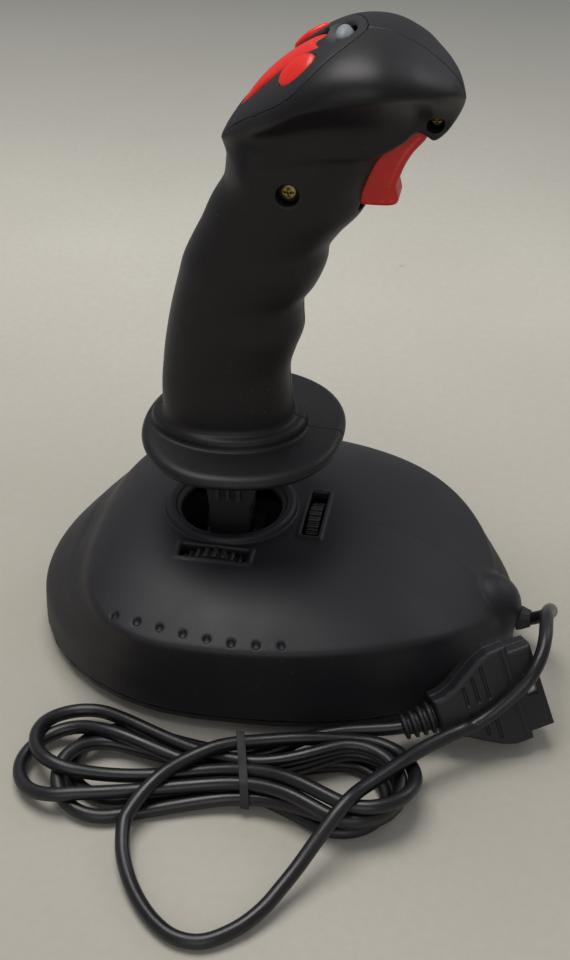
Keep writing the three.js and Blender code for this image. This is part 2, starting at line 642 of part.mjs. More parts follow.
// The hat: a round cap on a stem that passes through the rocker ring.
function hatCap() {
  const h = HAT_SEAT;
  const profile = [
    [0, h - 5], [1.1, h - 5], [1.1, h], [3, h + 0.2], [3.2, h + 3.6], [2.4, h + 5.3], [0, h + 5.8],
  ];
  return panelTurned(profile, 0, HAT_V);
}

function hatRocker() {
  const [low, high] = [HAT_SEAT - 5.6, HAT_SEAT - 3.4];
  return panelTurned([[1.5, low], [3.2, low], [3.2, high], [1.5, high], [1.5, low]], 0, HAT_V);
}

function hatSwitch() {
  const low = BOARD_TOP + GAP;
  return panelBlock([-3.4, HAT_V - 4.4, low], [3.4, HAT_V + 2.4, low + 2.4]);
}

function trigger() {
  const outline = [
    [66, 205.2], [60.8, 197.4], [57.8, 189.5], [58.6, 184], [57.6, 180], [48.6, 179.2], [46.8, 181],
    [47.8, 188], [50.6, 196], [55, 203], [57.6, 209], [59.8, 213], [63.4, 213], [65.6, 209],
  ];
  const body = slab(outline, -TRIGGER_HALF, TRIGGER_HALF, ALONG_X);
  return body.subtract(rod("x", -20, 20, 1.5, TRIGGER_PIVOT, 10));
}

const skin = stickSkin();
piece("grip_right_half", gripHalf(skin, 1), blackGrip);
piece("grip_left_half", gripHalf(skin, -1), blackGrip);
piece("thumb_panel", thumbPanel(), blackShell);
piece("thumb_button_centre", thumbButton(centreButtonOutline(0)), redButton);
piece("thumb_button_right", thumbButton(sideButtonOutline(1, 0)), redButton);
piece("thumb_button_left", thumbButton(sideButtonOutline(-1, 0)), redButton);
piece("button_board", buttonBoard(), boardGreen);
for (const [side, place] of Object.entries(SWITCHES)) {
  piece(`key_switch_${side}`, tactSwitch(place), darkNylon);
}
piece("hat_cap", hatCap(), greyHat);
piece("hat_rocker", hatRocker(), darkNylon);
piece("hat_switch", hatSwitch(), darkNylon);
piece("trigger", trigger(), redTrigger);
piece("trigger_pin", rod("x", -9.8, 9.8, 1.2, TRIGGER_PIVOT, 10), steel);
piece("trigger_spring", coil("y", { z: 190 }, 40.2, 46.4, 2.2, 0.4, 3), steel);
piece("grip_screw", screw("x", SCREW_PLACE.seatX + GAP, 3.2, 1.4, 18, 1, SCREW_PLACE), brassScrew);
piece("chin_screw", screw("x", CHIN_SCREW.seatX + GAP, 3.2, 1.4, 12, 1, CHIN_SCREW), brassScrew);

// ---------------------------------------------------------------- cable
// The loose stretch from the base over the plug and round the big loop to the hank, point by point.
const LEAD_ROUTE = [
  [0, 116.3, 12.6], [0, 119.3, 12.8], [2, 122, 16.2], [7.4, 123.2, 23], [14.6, 122.2, 30],
  [23, 121.2, 35.2], [32, 121, 38.2], [41, 121, 38.6], [48.8, 120.2, 36.2], [53.8, 117.8, 32.4],
  [57, 114.4, 28.4], [60, 110, 24], [63.8, 104.4, 19.8], [68.2, 97.8, 16.6], [73, 91, 14.2],
  [78.8, 84.4, 12.8], [86, 78.2, 12.4], [95, 72, 12.4],
  [105, 65.8, 12.4], [114, 60.4, 12.4], [121, 56.2, 11], [127.4, 52.4, 7.8], [134, 48.8, 4.8], [141, 44.8, 3],
  [149, 40.1, 2.6], [157, 33.2, 2.6], [163, 24, 2.6], [163, 15.3, 2.6], [158.5, 7.4, 2.6], [150.6, -0.2, 2.6],
  [141.2, -6.3, 2.6], [131.4, -10.4, 2.8], [120.4, -11.8, 5.2],
];
// The short stretch from the hank to the plug.
const TAIL_ROUTE = [[77.2, 37, 8], [72.4, 45.4, 8.4], [69, 55, 8.9], [67.2, 64.4, 9.6], [65.6, 72.9, 10.4]];

const PLUG = {
  start: [60.4, 85.5, 13.4], widest: [45.5, 117.5, 21.8],
  thick: 15, length: 39, half: 18, endHalf: 15.5, relief: 12.6, pocket: 31.4,
};
const plugStart = new THREE.Vector3(...PLUG.start);
const plugAxis = new THREE.Vector3(...PLUG.widest).sub(plugStart).normalize();
const plugWide = new THREE.Vector3(-0.38, -0.254, 0.889);
const plugNormal = new THREE.Vector3().crossVectors(plugAxis, plugWide).normalize();
const plugAcross = new THREE.Vector3().crossVectors(plugNormal, plugAxis);
// Plug frame: X along the plug away from the cord, Y across its width, Z out of its broad face.
const plugFrame = new THREE.Matrix4().makeBasis(plugAxis, plugAcross, plugNormal).setPosition(plugStart);

function plugBlock(low, high) {
  const size = high.map((value, i) => value - low[i]);
  const geometry = new THREE.BoxGeometry(...size).translate(...high.map((value, i) => (value + low[i]) / 2));
  return solid(geometry.applyMatrix4(plugFrame));
}

function plugRelief() {
  const profile = [[0, -PLUG.relief], [3.3, -PLUG.relief]];
  for (let i = 0; i < 4; i++) {
    const at = -PLUG.relief + 1.2 + i * 2.7;
    const [low, high] = [3.9 + i * 0.4, 4.9 + i * 0.4];
    profile.push([low, at], [high, at + 0.4], [high, at + 1.7], [low, at + 2.1]);
  }
  profile.push([5.4, -GAP], [0, -GAP]);
  const geometry = new THREE.LatheGeometry(profile.map(([r, h]) => new THREE.Vector2(r, h)), 10);
  return solid(geometry.rotateZ(-Math.PI / 2).applyMatrix4(plugFrame));
}

function plugHood() {
  const { half, endHalf, length, thick } = PLUG;
  const shoulder = length - 8.5;
  const side = [
    [0, 7.5], [6, 8.6], [13, half - 5], [24, half], [shoulder, half], [shoulder, endHalf], [length, endHalf],
  ];
  const outline = [...side, ...side.map(([u, v]) => [u, -v]).reverse()];
  const hood = slab(outline, -thick / 2, thick / 2, plugFrame);
  const pocket = plugBlock([PLUG.pocket, -14, -5.8], [length + 1, 14, 5.8]);
  const window = plugBlock([PLUG.pocket + 2, -4.2, 4], [PLUG.pocket + 5, 4.2, thick]);
  return without(hood, pocket, window);
}

function plugShell() {
  const dee = (inset) => {
    const [wide, narrow, high] = [12.6 - inset, 11.2 - inset, 4.2 - inset];
    return [[-wide, high], [wide, high], [narrow, -high], [-narrow, -high]];
  };
  const turned90 = plugFrame.clone().multiply(ALONG_X);
  const { pocket } = PLUG;
  const bore = slab(dee(0.7), pocket - 1, pocket + 9, turned90);
  const wall = slab(dee(0), pocket + 1.2, pocket + 7.2, turned90).subtract(bore);
  const flange = plugBlock([pocket + GAP, -13.7, -5.5], [pocket + 1.3, 13.7, 5.5]).subtract(bore);
  return wall.add(flange);
}

function plugInsert() {
  const { pocket } = PLUG;
  const carrier = plugBlock([pocket + GAP, -10, -2.8], [pocket + 2.6, 10, 2.8]);
  const pins = [];
  for (let i = 0; i < 15; i++) {
    const top = i < 8;
    const across = top ? (i - 3.5) * 2.5 : (i - 11) * 2.5;
    const out = top ? 1.4 : -1.4;
    pins.push(plugBlock([pocket + 2.4, across - 0.5, out - 0.5], [pocket + 6.6, across + 0.5, out + 0.5]));
  }
  return joined(carrier, ...pins);
}

function cordHank() {
  const { leftX, leftY, leftR, rightX, rightY, rightR, bottom, top } = HANK;
  const outline = new THREE.Shape();
  const through = (...points) => outline.splineThru(points.map(([u, v]) => new THREE.Vector2(u, v)));
  outline.moveTo(leftX + leftR, leftY);
  through([113.4, -8], [110.4, TIE.y], [112, 42], [rightX + rightR, rightY]);
  outline.absarc(rightX, rightY, rightR, 0, Math.PI);
  through([79.6, 42], [79.6, TIE.y], [75.6, -8], [leftX - leftR, leftY]);
  outline.absarc(leftX, leftY, leftR, Math.PI, 2 * Math.PI);
  const points = outline.getPoints(8).map((p) => [p.x, p.y]);
  const last = points[points.length - 1];
  const closes = Math.hypot(last[0] - points[0][0], last[1] - points[0][1]) < 1e-6;
  return slab(closes ? points.slice(0, -1) : points, bottom, top);
}

function cableTie() {
  const [low, high] = [TIE.y - TIE.width / 2, TIE.y + TIE.width / 2];
  const band = block([77.6, low, 0], [112.8, high, 12.4]);
  return band.subtract(block([78.8, low - 1, TIE.thick], [111.6, high + 1, 12.4 - TIE.thick]));
}

function cordGrommet() {
  const profile = [
    [0, 100], [4.4, 100], [4.4, 102.4], [3.4, 102.4], [3.4, 110.4],
    [5, 110.6], [4.6, 112.6], [3.2, 116], [0, 116],
  ];
  return turned("y", profile, { z: 12.6 }, 12);
}

piece("cord_grommet", cordGrommet(), rubber);
piece("cord_lead", tube(LEAD_ROUTE, CORD_RADIUS, CORD_SIDES, 44), cordSkin);
piece("cord_hank", cordHank(), cordSkin);
piece("cord_tail", tube(TAIL_ROUTE, CORD_RADIUS, CORD_SIDES, 5), cordSkin);
piece("cable_tie", cableTie(), rubber);
piece("plug_strain_relief", plugRelief(), rubber);
piece("plug_hood", plugHood(), blackShell);
piece("plug_shell", plugShell(), tin);
piece("plug_insert", plugInsert(), darkNylon);

export default assembly;
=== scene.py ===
"""The looks of a desktop flight joystick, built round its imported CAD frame.

Shapes are worked out in millimetres about the gimbal's vertical axis and then placed in the frame.
Moulded parts are implicit shapes: a function that is negative inside, skinned by skin_of().
"""
import json
import math

import bmesh
import bpy
import numpy as np
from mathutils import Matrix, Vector


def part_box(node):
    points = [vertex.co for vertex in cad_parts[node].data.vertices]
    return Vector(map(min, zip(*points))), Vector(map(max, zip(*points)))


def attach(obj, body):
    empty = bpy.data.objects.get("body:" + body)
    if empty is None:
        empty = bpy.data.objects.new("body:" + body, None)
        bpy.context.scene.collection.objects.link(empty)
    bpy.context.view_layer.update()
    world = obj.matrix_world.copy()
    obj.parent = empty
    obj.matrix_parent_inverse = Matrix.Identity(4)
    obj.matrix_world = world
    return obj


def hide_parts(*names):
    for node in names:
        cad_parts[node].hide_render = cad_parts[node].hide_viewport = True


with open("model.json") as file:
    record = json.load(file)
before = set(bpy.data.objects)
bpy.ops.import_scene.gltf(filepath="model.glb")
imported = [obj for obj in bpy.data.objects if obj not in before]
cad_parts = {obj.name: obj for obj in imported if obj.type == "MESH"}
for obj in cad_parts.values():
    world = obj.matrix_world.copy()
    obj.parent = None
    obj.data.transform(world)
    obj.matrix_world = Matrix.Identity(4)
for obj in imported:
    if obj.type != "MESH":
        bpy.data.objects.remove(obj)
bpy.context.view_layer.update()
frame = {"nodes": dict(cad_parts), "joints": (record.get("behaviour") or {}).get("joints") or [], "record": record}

MM = 0.001
PIVOT = next(joint["pos_m"] for joint in frame["joints"] if joint["name"] == "stick_pitch")
GIMBAL = np.array([0.0, PIVOT[1], 0.0])
ROUGH_STEP = 1.0


def placed(points):
    """Millimetres about the gimbal's axis, in metres in the frame."""
    return np.asarray(points, float) * MM + GIMBAL


def box_mm(node):
    """A CAD node's corners in millimetres about the gimbal's axis."""
    low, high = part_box(node)
    return (np.array(low) - GIMBAL) / MM, (np.array(high) - GIMBAL) / MM


# ------------------------------------------------------------------ camera
CAMERA_TARGET = Vector((-0.0188, -0.00125, 0.052))
CAMERA_AZIMUTH = math.radians(100.3)
CAMERA_ELEVATION = math.radians(35.3)
CAMERA_DISTANCE = 0.6186
CAMERA_LENS = 60


def make_camera():
    data = bpy.data.cameras.new("camera")
    data.lens = CAMERA_LENS
    data.sensor_width = 36
    data.clip_start = 0.01
    data.clip_end = 20
    camera = bpy.data.objects.new("camera", data)
    level = math.cos(CAMERA_ELEVATION)
    back = Vector((
        math.sin(CAMERA_AZIMUTH) * level, -math.cos(CAMERA_AZIMUTH) * level, math.sin(CAMERA_ELEVATION)
    ))
    camera.location = CAMERA_TARGET + back * CAMERA_DISTANCE
    camera.rotation_euler = (-back).to_track_quat("-Z", "Y").to_euler()
    bpy.context.scene.collection.objects.link(camera)
    bpy.context.scene.camera = camera


make_camera()


# ------------------------------------------------------------------ materials
class Nodes:
    """A short way to wire a material: each method adds a node and returns its output."""

    def __init__(self, name):
        self.material = bpy.data.materials.new(name)
        self.material.use_nodes = True
        self.tree = self.material.node_tree
        self.shader = self.tree.nodes["Principled BSDF"]
        self.place = self.add("ShaderNodeTexCoord").outputs["Object"]

    def add(self, kind, **settings):
        node = self.tree.nodes.new(kind)
        for key, value in settings.items():
            setattr(node, key, value)
        return node

    def feed(self, socket, value):
        if isinstance(value, bpy.types.NodeSocket):
            self.tree.links.new(value, socket)
        else:
            socket.default_value = value

    def noise(self, size, detail=2.0, roughness=0.5):
        """Noise whose features are about size metres across."""
        node = self.add("ShaderNodeTexNoise")
        self.feed(node.inputs["Vector"], self.place)
        node.inputs["Scale"].default_value = 1 / size
        node.inputs["Detail"].default_value = detail
        node.inputs["Roughness"].default_value = roughness
        return node.outputs["Fac"]

    def spots(self, size):
        node = self.add("ShaderNodeTexVoronoi")
        self.feed(node.inputs["Vector"], self.place)
        node.inputs["Scale"].default_value = 1 / size
        return node.outputs["Distance"]

    def spread(self, value, low, high, to_low, to_high):
        node = self.add("ShaderNodeMapRange")
        self.feed(node.inputs["Value"], value)
        for key, number in zip(("From Min", "From Max", "To Min", "To Max"), (low, high, to_low, to_high)):
            self.feed(node.inputs[key], number)
        return node.outputs["Result"]

    def mix(self, share, first, second):
        node = self.add("ShaderNodeMix", data_type="RGBA")
        self.feed(node.inputs["Factor"], share)
        self.feed(node.inputs["A"], first)
        self.feed(node.inputs["B"], second)
        return node.outputs["Result"]

    def math(self, operation, first, second):
        node = self.add("ShaderNodeMath", operation=operation)
        self.feed(node.inputs[0], first)
        self.feed(node.inputs[1], second)
        return node.outputs[0]

    def edges(self, low, high):
        """0 on open faces and 1 on outer edges."""
        node = self.add("ShaderNodeNewGeometry")
        return self.spread(node.outputs["Pointiness"], low, high, 0.0, 1.0)

    def upwards(self, low=0.2, high=0.95):
        """0 on walls and 1 on faces that look up, where dust settles and where a painted top sheen goes."""
        node = self.add("ShaderNodeNewGeometry")
        split = self.add("ShaderNodeSeparateXYZ")
        self.feed(split.inputs[0], node.outputs["Normal"])
        return self.spread(split.outputs["Z"], low, high, 0.0, 1.0)

    def bump(self, height, distance, under=None):
        node = self.add("ShaderNodeBump")
        node.inputs["Distance"].default_value = distance
        self.feed(node.inputs["Height"], height)
        if under is not None:
            self.feed(node.inputs["Normal"], under)
        return node.outputs["Normal"]

    def done(self, **values):
        for key, value in values.items():
            self.feed(self.shader.inputs[key.replace("_", " ")], value)
        return self.material


def colour(red, green, blue):
    """A colour from its sRGB values, 0 to 255."""
    linear = [(c / 255 / 12.92) if c <= 10 else ((c / 255 + 0.055) / 1.055) ** 2.4 for c in (red, green, blue)]
    return (*linear, 1.0)


def moulded_plastic(name, base, pale_dust_and_sheen, rough, grain=0.00045, depth=0.00005, dust=0.4):
    """Spark-eroded plastic: fine pits, hand-polished patches, dust and a painted top sheen on faces that look up,
    pale specks and paler edges.
    """
    n = Nodes(name)
    pits = n.noise(grain, 3.0, 0.7)
    patches = n.noise(0.035, 3.0, 0.55)
    dots = n.spread(n.spots(0.0035), 0.04, 0.07, 1.0, 0.0)
    specks = n.math("MULTIPLY", dots, n.spread(patches, 0.45, 0.6, 0.0, 1.0))
    # Faces that look up are paled towards the pale tone: partly dust, partly a painted sheen of the overhead
    # light.
    dust_and_sheen = n.math("MULTIPLY", n.upwards(), n.spread(patches, 0.3, 0.75, dust * 0.5, dust))
    tone = n.mix(dust_and_sheen, base, pale_dust_and_sheen)
    tone = n.mix(n.spread(pits, 0.42, 0.7, 0.0, 0.35), tone, pale_dust_and_sheen)
    tone = n.mix(n.math("MULTIPLY", n.edges(0.52, 0.6), 0.3), tone, pale_dust_and_sheen)
    tone = n.mix(n.math("MULTIPLY", specks, 0.35), tone, colour(150, 150, 148))
    polish = n.spread(patches, 0.3, 0.7, rough - 0.07, rough + 0.06)
    roughness = n.math("ADD", polish, n.math("MULTIPLY", dust_and_sheen, 0.08))
    return n.done(Base_Color=tone, Roughness=roughness, Normal=n.bump(pits, depth), Specular_IOR_Level=0.34)


def gloss_plastic(name, base, deep, rough):
    """Smooth coloured plastic with slight flow marks and rubbed patches."""
    n = Nodes(name)
    flow = n.noise(0.012, 2.0)
    rubbed = n.noise(0.004, 4.0, 0.6)
    tone = n.mix(n.spread(flow, 0.35, 0.7, 0.0, 0.55), base, deep)
    tone = n.mix(n.math("MULTIPLY", n.edges(0.52, 0.6), 0.2), tone, colour(255, 120, 100))
    return n.done(Base_Color=tone, Roughness=n.spread(rubbed, 0.3, 0.7, rough - 0.06, rough + 0.08),
                  Normal=n.bump(n.noise(0.0007, 2.0), 0.000012), Specular_IOR_Level=0.5)


def cable_skin(name, base, worn, rough):
    """Soft PVC with a faint orange peel, dust and dull rubbed places."""
    n = Nodes(name)
    peel = n.noise(0.0016, 2.0)
    worn_places = n.noise(0.02, 3.0, 0.6)
    tone = n.mix(n.spread(worn_places, 0.4, 0.8, 0.0, 0.6), base, worn)
    return n.done(Base_Color=tone, Roughness=n.spread(worn_places, 0.3, 0.75, rough - 0.05, rough + 0.14),
                  Normal=n.bump(peel, 0.00004), Specular_IOR_Level=0.5)


def rubber_skin(name, base):
    n = Nodes(name)
    tone = n.mix(n.spread(n.noise(0.006, 3.0), 0.35, 0.75, 0.0, 0.7), base, colour(62, 60, 58))
    return n.done(Base_Color=tone, Roughness=n.spread(n.noise(0.003), 0.3, 0.7, 0.68, 0.85),
                  Normal=n.bump(n.noise(0.0006, 3.0), 0.00005))


def bare_metal(name, base, dark, rough):
    """Plated metal with fine drawn scratches and a little tarnish."""
    n = Nodes(name)
    stretch = n.add("ShaderNodeMapping")
    n.feed(stretch.inputs["Vector"], n.place)
    stretch.inputs["Scale"].default_value = (1, 1, 9)
    tarnish = n.noise(0.0025, 4.0, 0.6)
    scratches = n.add("ShaderNodeTexNoise")
    n.feed(scratches.inputs["Vector"], stretch.outputs["Vector"])
    scratches.inputs["Scale"].default_value = 1500
    tone = n.mix(n.spread(tarnish, 0.45, 0.75, 0.0, 0.8), base, dark)
    return n.done(Base_Color=tone, Metallic=1.0, Roughness=n.spread(tarnish, 0.3, 0.7, rough, rough + 0.2),
                  Normal=n.bump(scratches.outputs["Fac"], 0.00001))


def board_laminate(name):
    n = Nodes(name)
    tracks = n.spread(n.spots(0.0035), 0.35, 0.4, 0.0, 1.0)
    tone = n.mix(n.math("MULTIPLY", tracks, 0.4), colour(24, 74, 42), colour(66, 120, 72))
    return n.done(Base_Color=tone, Roughness=n.spread(n.noise(0.003), 0.3, 0.7, 0.3, 0.45))


def floor_paper(name):
    """Pale backdrop paper with a soft tone, a faint fibre, long shallow creases, small marks and painted light
    falloff, darker far off and towards the camera.
    """
    n = Nodes(name)
    fibre = n.noise(0.004, 5.0, 0.65)
    clouds = n.noise(0.25, 3.0)
    from_middle = n.math("ABSOLUTE", n.math("SUBTRACT", n.noise(0.13, 2.0), 0.5), 0.0)
    creases = n.math("SUBTRACT", 1.0, n.spread(from_middle, 0.0, 0.012, 0.0, 1.0))
    marks = n.spread(n.spots(0.05), 0.02, 0.035, 1.0, 0.0)
    tone = n.mix(n.spread(clouds, 0.3, 0.7, 0.0, 1.0), colour(205, 202, 192), colour(195, 191, 180))
    tone = n.mix(n.spread(fibre, 0.3, 0.75, 0.0, 0.35), tone, colour(180, 176, 165))
    split = n.add("ShaderNodeSeparateXYZ")
    n.feed(split.inputs[0], n.place)
    # Painted light falloff: the paper is darkened away from its lit band, strongly far off and a little towards
    # the camera.
    far = n.spread(split.outputs["X"], -0.3, -0.75, 0.0, 0.85)
    near = n.spread(split.outputs["X"], -0.26, -0.05, 0.0, 0.4)
    tone = n.mix(far, tone, colour(134, 135, 131))
    tone = n.mix(near, tone, colour(148, 142, 130))
    tone = n.mix(n.math("MULTIPLY", marks, 0.25), tone, colour(120, 116, 108))
    relief = n.math("ADD", n.math("MULTIPLY", fibre, 0.3), n.math("MULTIPLY", creases, 0.5))
    return n.done(Base_Color=tone, Roughness=0.9, Normal=n.bump(relief, 0.0003), Specular_IOR_Level=0.15)


# Each moulded finish's second colour is its pale tone for grain, worn edges, dust and the painted top sheen; dust
# sets how strongly faces that look up are paled.
FINISH = {
    "case_black": moulded_plastic("case_black", colour(24, 22, 26), colour(54, 52, 58), 0.5, dust=0.14),
    "grip_black": moulded_plastic("grip_black", colour(15, 12, 14), colour(46, 45, 49), 0.45, dust=0.12),
    "button_red": gloss_plastic("button_red", colour(232, 38, 26), colour(206, 24, 16), 0.36),
    "trigger_red": gloss_plastic("trigger_red", colour(205, 30, 20), colour(172, 18, 12), 0.4),
    "hat_grey": moulded_plastic("hat_grey", colour(126, 132, 138), colour(160, 164, 168), 0.42, dust=0.15),
    "nylon_dark": moulded_plastic("nylon_dark", colour(38, 36, 38), colour(80, 78, 80), 0.34, dust=0.15),
    "foot_rubber": rubber_skin("foot_rubber", colour(34, 33, 33)),
    "steel": bare_metal("steel", colour(188, 188, 192), colour(120, 118, 116), 0.28),
    "brass_screw": bare_metal("brass_screw", colour(176, 158, 108), colour(84, 70, 42), 0.3),
    "board": board_laminate("board"),
    "cord_pvc": cable_skin("cord_pvc", colour(20, 18, 21), colour(38, 35, 38), 0.33),
    "plug_black": moulded_plastic("plug_black", colour(27, 25, 28), colour(56, 55, 59), 0.48, dust=0.15),
    "tin_plate": bare_metal("tin_plate", colour(214, 214, 212), colour(150, 148, 142), 0.2),
}


# ------------------------------------------------------------------ pieces
def finished(piece, body, slot, *nodes):
    """Links a piece, gives it its finish and body, and lets it stand for CAD nodes."""
    if piece.name not in bpy.context.scene.collection.objects:
        bpy.context.scene.collection.objects.link(piece)
    piece.data.materials.clear()
    piece.data.materials.append(FINISH[slot])
    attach(piece, body)
    if nodes:
        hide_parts(*nodes)
    return piece


# ------------------------------------------------------------------ cord
CORD_RADIUS = 2.5
CORD_SPACING = 3.0
# The tightest bend's radius in the hank's folds, in the lead and in the short end to the plug.
HANK_BEND = 16.6
LEAD_BEND = 20.5
TAIL_BEND = 20
# The loose stretch from the base over the plug and round the big loop to the hank, point by point.
LEAD_ROUTE = [
    (0, 116.3, 12.6), (0, 119.3, 12.8), (2, 122, 16.2), (7.4, 123.2, 23), (14.6, 122.2, 30),
    (23, 121.2, 35.2), (32, 121, 38.2), (41, 121, 38.6), (48.8, 120.2, 36.2), (53.8, 117.8, 32.4),
    (57, 114.4, 28.4), (60, 110, 24), (63.8, 104.4, 19.8), (68.2, 97.8, 16.6), (73, 91, 14.2),
    (78.8, 84.4, 12.8), (86, 78.2, 12.4), (95, 72, 12.4),
    (105, 65.8, 12.4), (114, 60.4, 12.4), (121, 56.2, 11), (127.4, 52.4, 7.8), (134, 48.8, 4.8), (141, 44.8, 3),
    (149, 40.1, 2.6), (157, 33.2, 2.6), (163, 24, 2.6), (163, 15.3, 2.6), (158.5, 7.4, 2.6), (150.6, -0.2, 2.6),
    (141.2, -6.3, 2.6), (131.4, -10.4, 2.8), (120.4, -11.8, 5.2),
]
# The way from the ground over the left end of the hank to the tie.
BRIDGE_ROUTE = [(112, -8, 8), (103.4, -3, 10), (94.6, 5, 11)]
TAIL_ROUTE = [(77.2, 37, 8), (72.4, 45.4, 8.4), (69, 55, 8.9), (67.2, 64.4, 9.6), (65.6, 72.9, 10.4)]
# The cord's hidden ends, in the grommet and in the plug's strain relief.
INSIDE_GROMMET = (0, 112.5, 12.6)
INSIDE_RELIEF = (63.7, 78.4, 11.6)
TIE_Y = 22
# The tie-side X of each pass towards the plug and of each pass back, and the folds at both ends of each turn.
PASSES_OUT = [84.4, 90.9, 93.5, 88.3, 83.1]
PASSES_BACK = [96.1, 101.3, 103.9, 98.7]
RIGHT_FOLDS = [(92.5, 62.5, 20), (96, 59, 19), (93, 60.5, 18), (95.5, 57, 17.6)]
LEFT_FOLDS = [(88, -36, 17.6), (99, -38, 18), (103, -24, 17.6), (93, -22, 17.6)]
GROUND = CORD_RADIUS + 0.1


def fold(x, y, radius, turn):
    """A half circle at an end of the hank, in travel order; turn is 1 at the right end and -1 at the left."""
    angles = np.radians([170, 130, 90, 50, 10])
    if turn < 0:
        angles = -angles[::-1]
    return [(x + radius * math.cos(a), y + radius * math.sin(a), GROUND) for a in angles]


def hank_route():
    """The wound stretch: out along the hank, round its right end, back, and round its left end."""
    route = []
    for out, back, right, left in zip(PASSES_OUT, PASSES_BACK, RIGHT_FOLDS, LEFT_FOLDS):
        route.append((out, TIE_Y, GROUND))
        route += fold(*right, 1)
        route.append((back, TIE_Y, GROUND))
        route += fold(*left, -1)
    return route + [(PASSES_OUT[-1], TIE_Y, GROUND)]


def spline_samples(route, spacing):
    """Points at even spacing on the smooth curve through the route's points."""
    points = np.array(route, float)
    padded = np.vstack([2 * points[0] - points[1], points, 2 * points[-1] - points[-2]])
    fine = []
    for p0, p1, p2, p3 in zip(padded, padded[1:], padded[2:], padded[3:]):
        for t in np.linspace(0, 1, 24, endpoint=False):
            fine.append(0.5 * (2 * p1 + (p2 - p0) * t + (2 * p0 - 5 * p1 + 4 * p2 - p3) * t ** 2
                               + (3 * p1 - p0 - 3 * p2 + p3) * t ** 3))
    fine.append(points[-1])
    fine = np.array(fine)
    along = np.concatenate([[0], np.cumsum(np.linalg.norm(np.diff(fine, axis=0), axis=1))])
    even = np.linspace(0, along[-1], max(2, round(along[-1] / spacing)))
    return np.stack([np.interp(even, along, fine[:, axis]) for axis in range(3)], 1)


def laid_down(samples, spacing, first, last):
    """Samples first to last, from the plug backwards, each lie on the ground or on the cord already laid."""
    near = int(5 * CORD_RADIUS / spacing)
    reach = 2 * CORD_RADIUS
    gaps = np.hypot(samples[:, None, 0] - samples[None, :, 0], samples[:, None, 1] - samples[None, :, 1])
    over = np.sqrt(np.maximum(reach ** 2 - gaps ** 2, 0))
    order = np.arange(len(samples))
    later = (order[None, :] > order[:, None] + near) & (gaps < reach)
    height = samples[:, 2].copy()
    for sweep in range(14):
        for i in range(last - 1, first - 1, -1):
            under = np.nonzero(later[i])[0]
            if len(under):
                height[i] = max(height[i], (height[under] + over[i, under]).max())
        for slope_pass in range(6):
            raised = np.maximum(height[first - 1:last - 1], height[first + 1:last + 1]) - 0.5 * spacing
            height[first:last] = np.maximum(height[first:last], raised)
        ease = np.convolve(np.pad(height, 4, mode="edge"), np.hanning(11)[1:-1] / np.hanning(11).sum(), "valid")
        height[first:last] = np.maximum(height[first:last], ease[first:last])
    soft = np.convolve(np.pad(height, 4, mode="edge"), np.hanning(11)[1:-1] / np.hanning(11).sum(), "valid")
    samples = samples.copy()
    samples[first:last, 2] = soft[first:last]
    return samples


def opened_out(samples, first, last, radius):
    """Samples first to last moved inwards where the bend is tighter than the radius, until few are."""
    samples = samples.copy()
    for sweep in range(240):
        before, here, beyond = samples[first - 1:last - 1], samples[first:last], samples[first + 1:last + 1]
        ahead, behind = beyond - here, here - before
        step = (np.linalg.norm(ahead, axis=1) + np.linalg.norm(behind, axis=1)) / 2
        turn = np.linalg.norm(ahead - behind, axis=1) / step + 1e-9
        share = np.clip(1 - step / radius / turn, 0, 1)
        samples[first:last] = here + 0.5 * share[:, None] * ((before + beyond) / 2 - here)
    return samples


def whole_cord():
    """The cord's whole course at even spacing, its wound stretch eased into round bends and laid down."""
    spacing = CORD_SPACING
    lead, tail = [INSIDE_GROMMET] + LEAD_ROUTE, TAIL_ROUTE + [INSIDE_RELIEF]
    samples = spline_samples(lead + BRIDGE_ROUTE + hank_route() + tail, spacing)
    first = len(spline_samples(lead, spacing))
    last = len(samples) - len(spline_samples(tail, spacing))
    landing = len(spline_samples(lead[:15], spacing))
    for sweep in range(3):
        between = (samples[first - 1:last - 1, :2] + samples[first + 1:last + 1, :2]) / 2
        samples[first:last, :2] = 0.4 * samples[first:last, :2] + 0.6 * between
    samples[:, :2] = opened_out(samples[:, :2], first, last, HANK_BEND)
    samples = opened_out(samples, 2, landing, LEAD_BEND)
    laid = laid_down(samples, spacing, landing, last)
    return opened_out(laid, last - 6, len(laid) - 2, TAIL_BEND)


def cord_curve(name, route):
    curve = bpy.data.curves.new(name, "CURVE")
    curve.dimensions = "3D"
    curve.bevel_depth = CORD_RADIUS * MM
    curve.bevel_resolution = 6
    curve.resolution_u = 3
    curve.use_fill_caps = True
    spline = curve.splines.new("BEZIER")
    spline.bezier_points.add(len(route) - 1)
    for point, spot in zip(spline.bezier_points, placed(route)):
        point.co = spot
        point.handle_left_type = point.handle_right_type = "AUTO"
    return bpy.data.objects.new(name, curve)


def make_floor():
    mesh = bpy.data.meshes.new("floor")
    size = 3.0
    corners = [(-size, -size, 0), (size, -size, 0), (size, size, 0), (-size, size, 0)]
    mesh.from_pydata(corners, [], [(0, 1, 2, 3)])
    floor = bpy.data.objects.new("floor", mesh)
    mesh.materials.append(floor_paper("floor_paper"))
    bpy.context.scene.collection.objects.link(floor)


def area_light(name, place, aim, size, power, tint):
    data = bpy.data.lights.new(name, "AREA")
    data.shape = "DISK"
    data.size = size
    data.energy = power
    data.color = tint
    light = bpy.data.objects.new(name, data)
    light.location = place
    light.rotation_euler = (Vector(aim) - Vector(place)).to_track_quat("-Z", "Y").to_euler()
    bpy.context.scene.collection.objects.link(light)


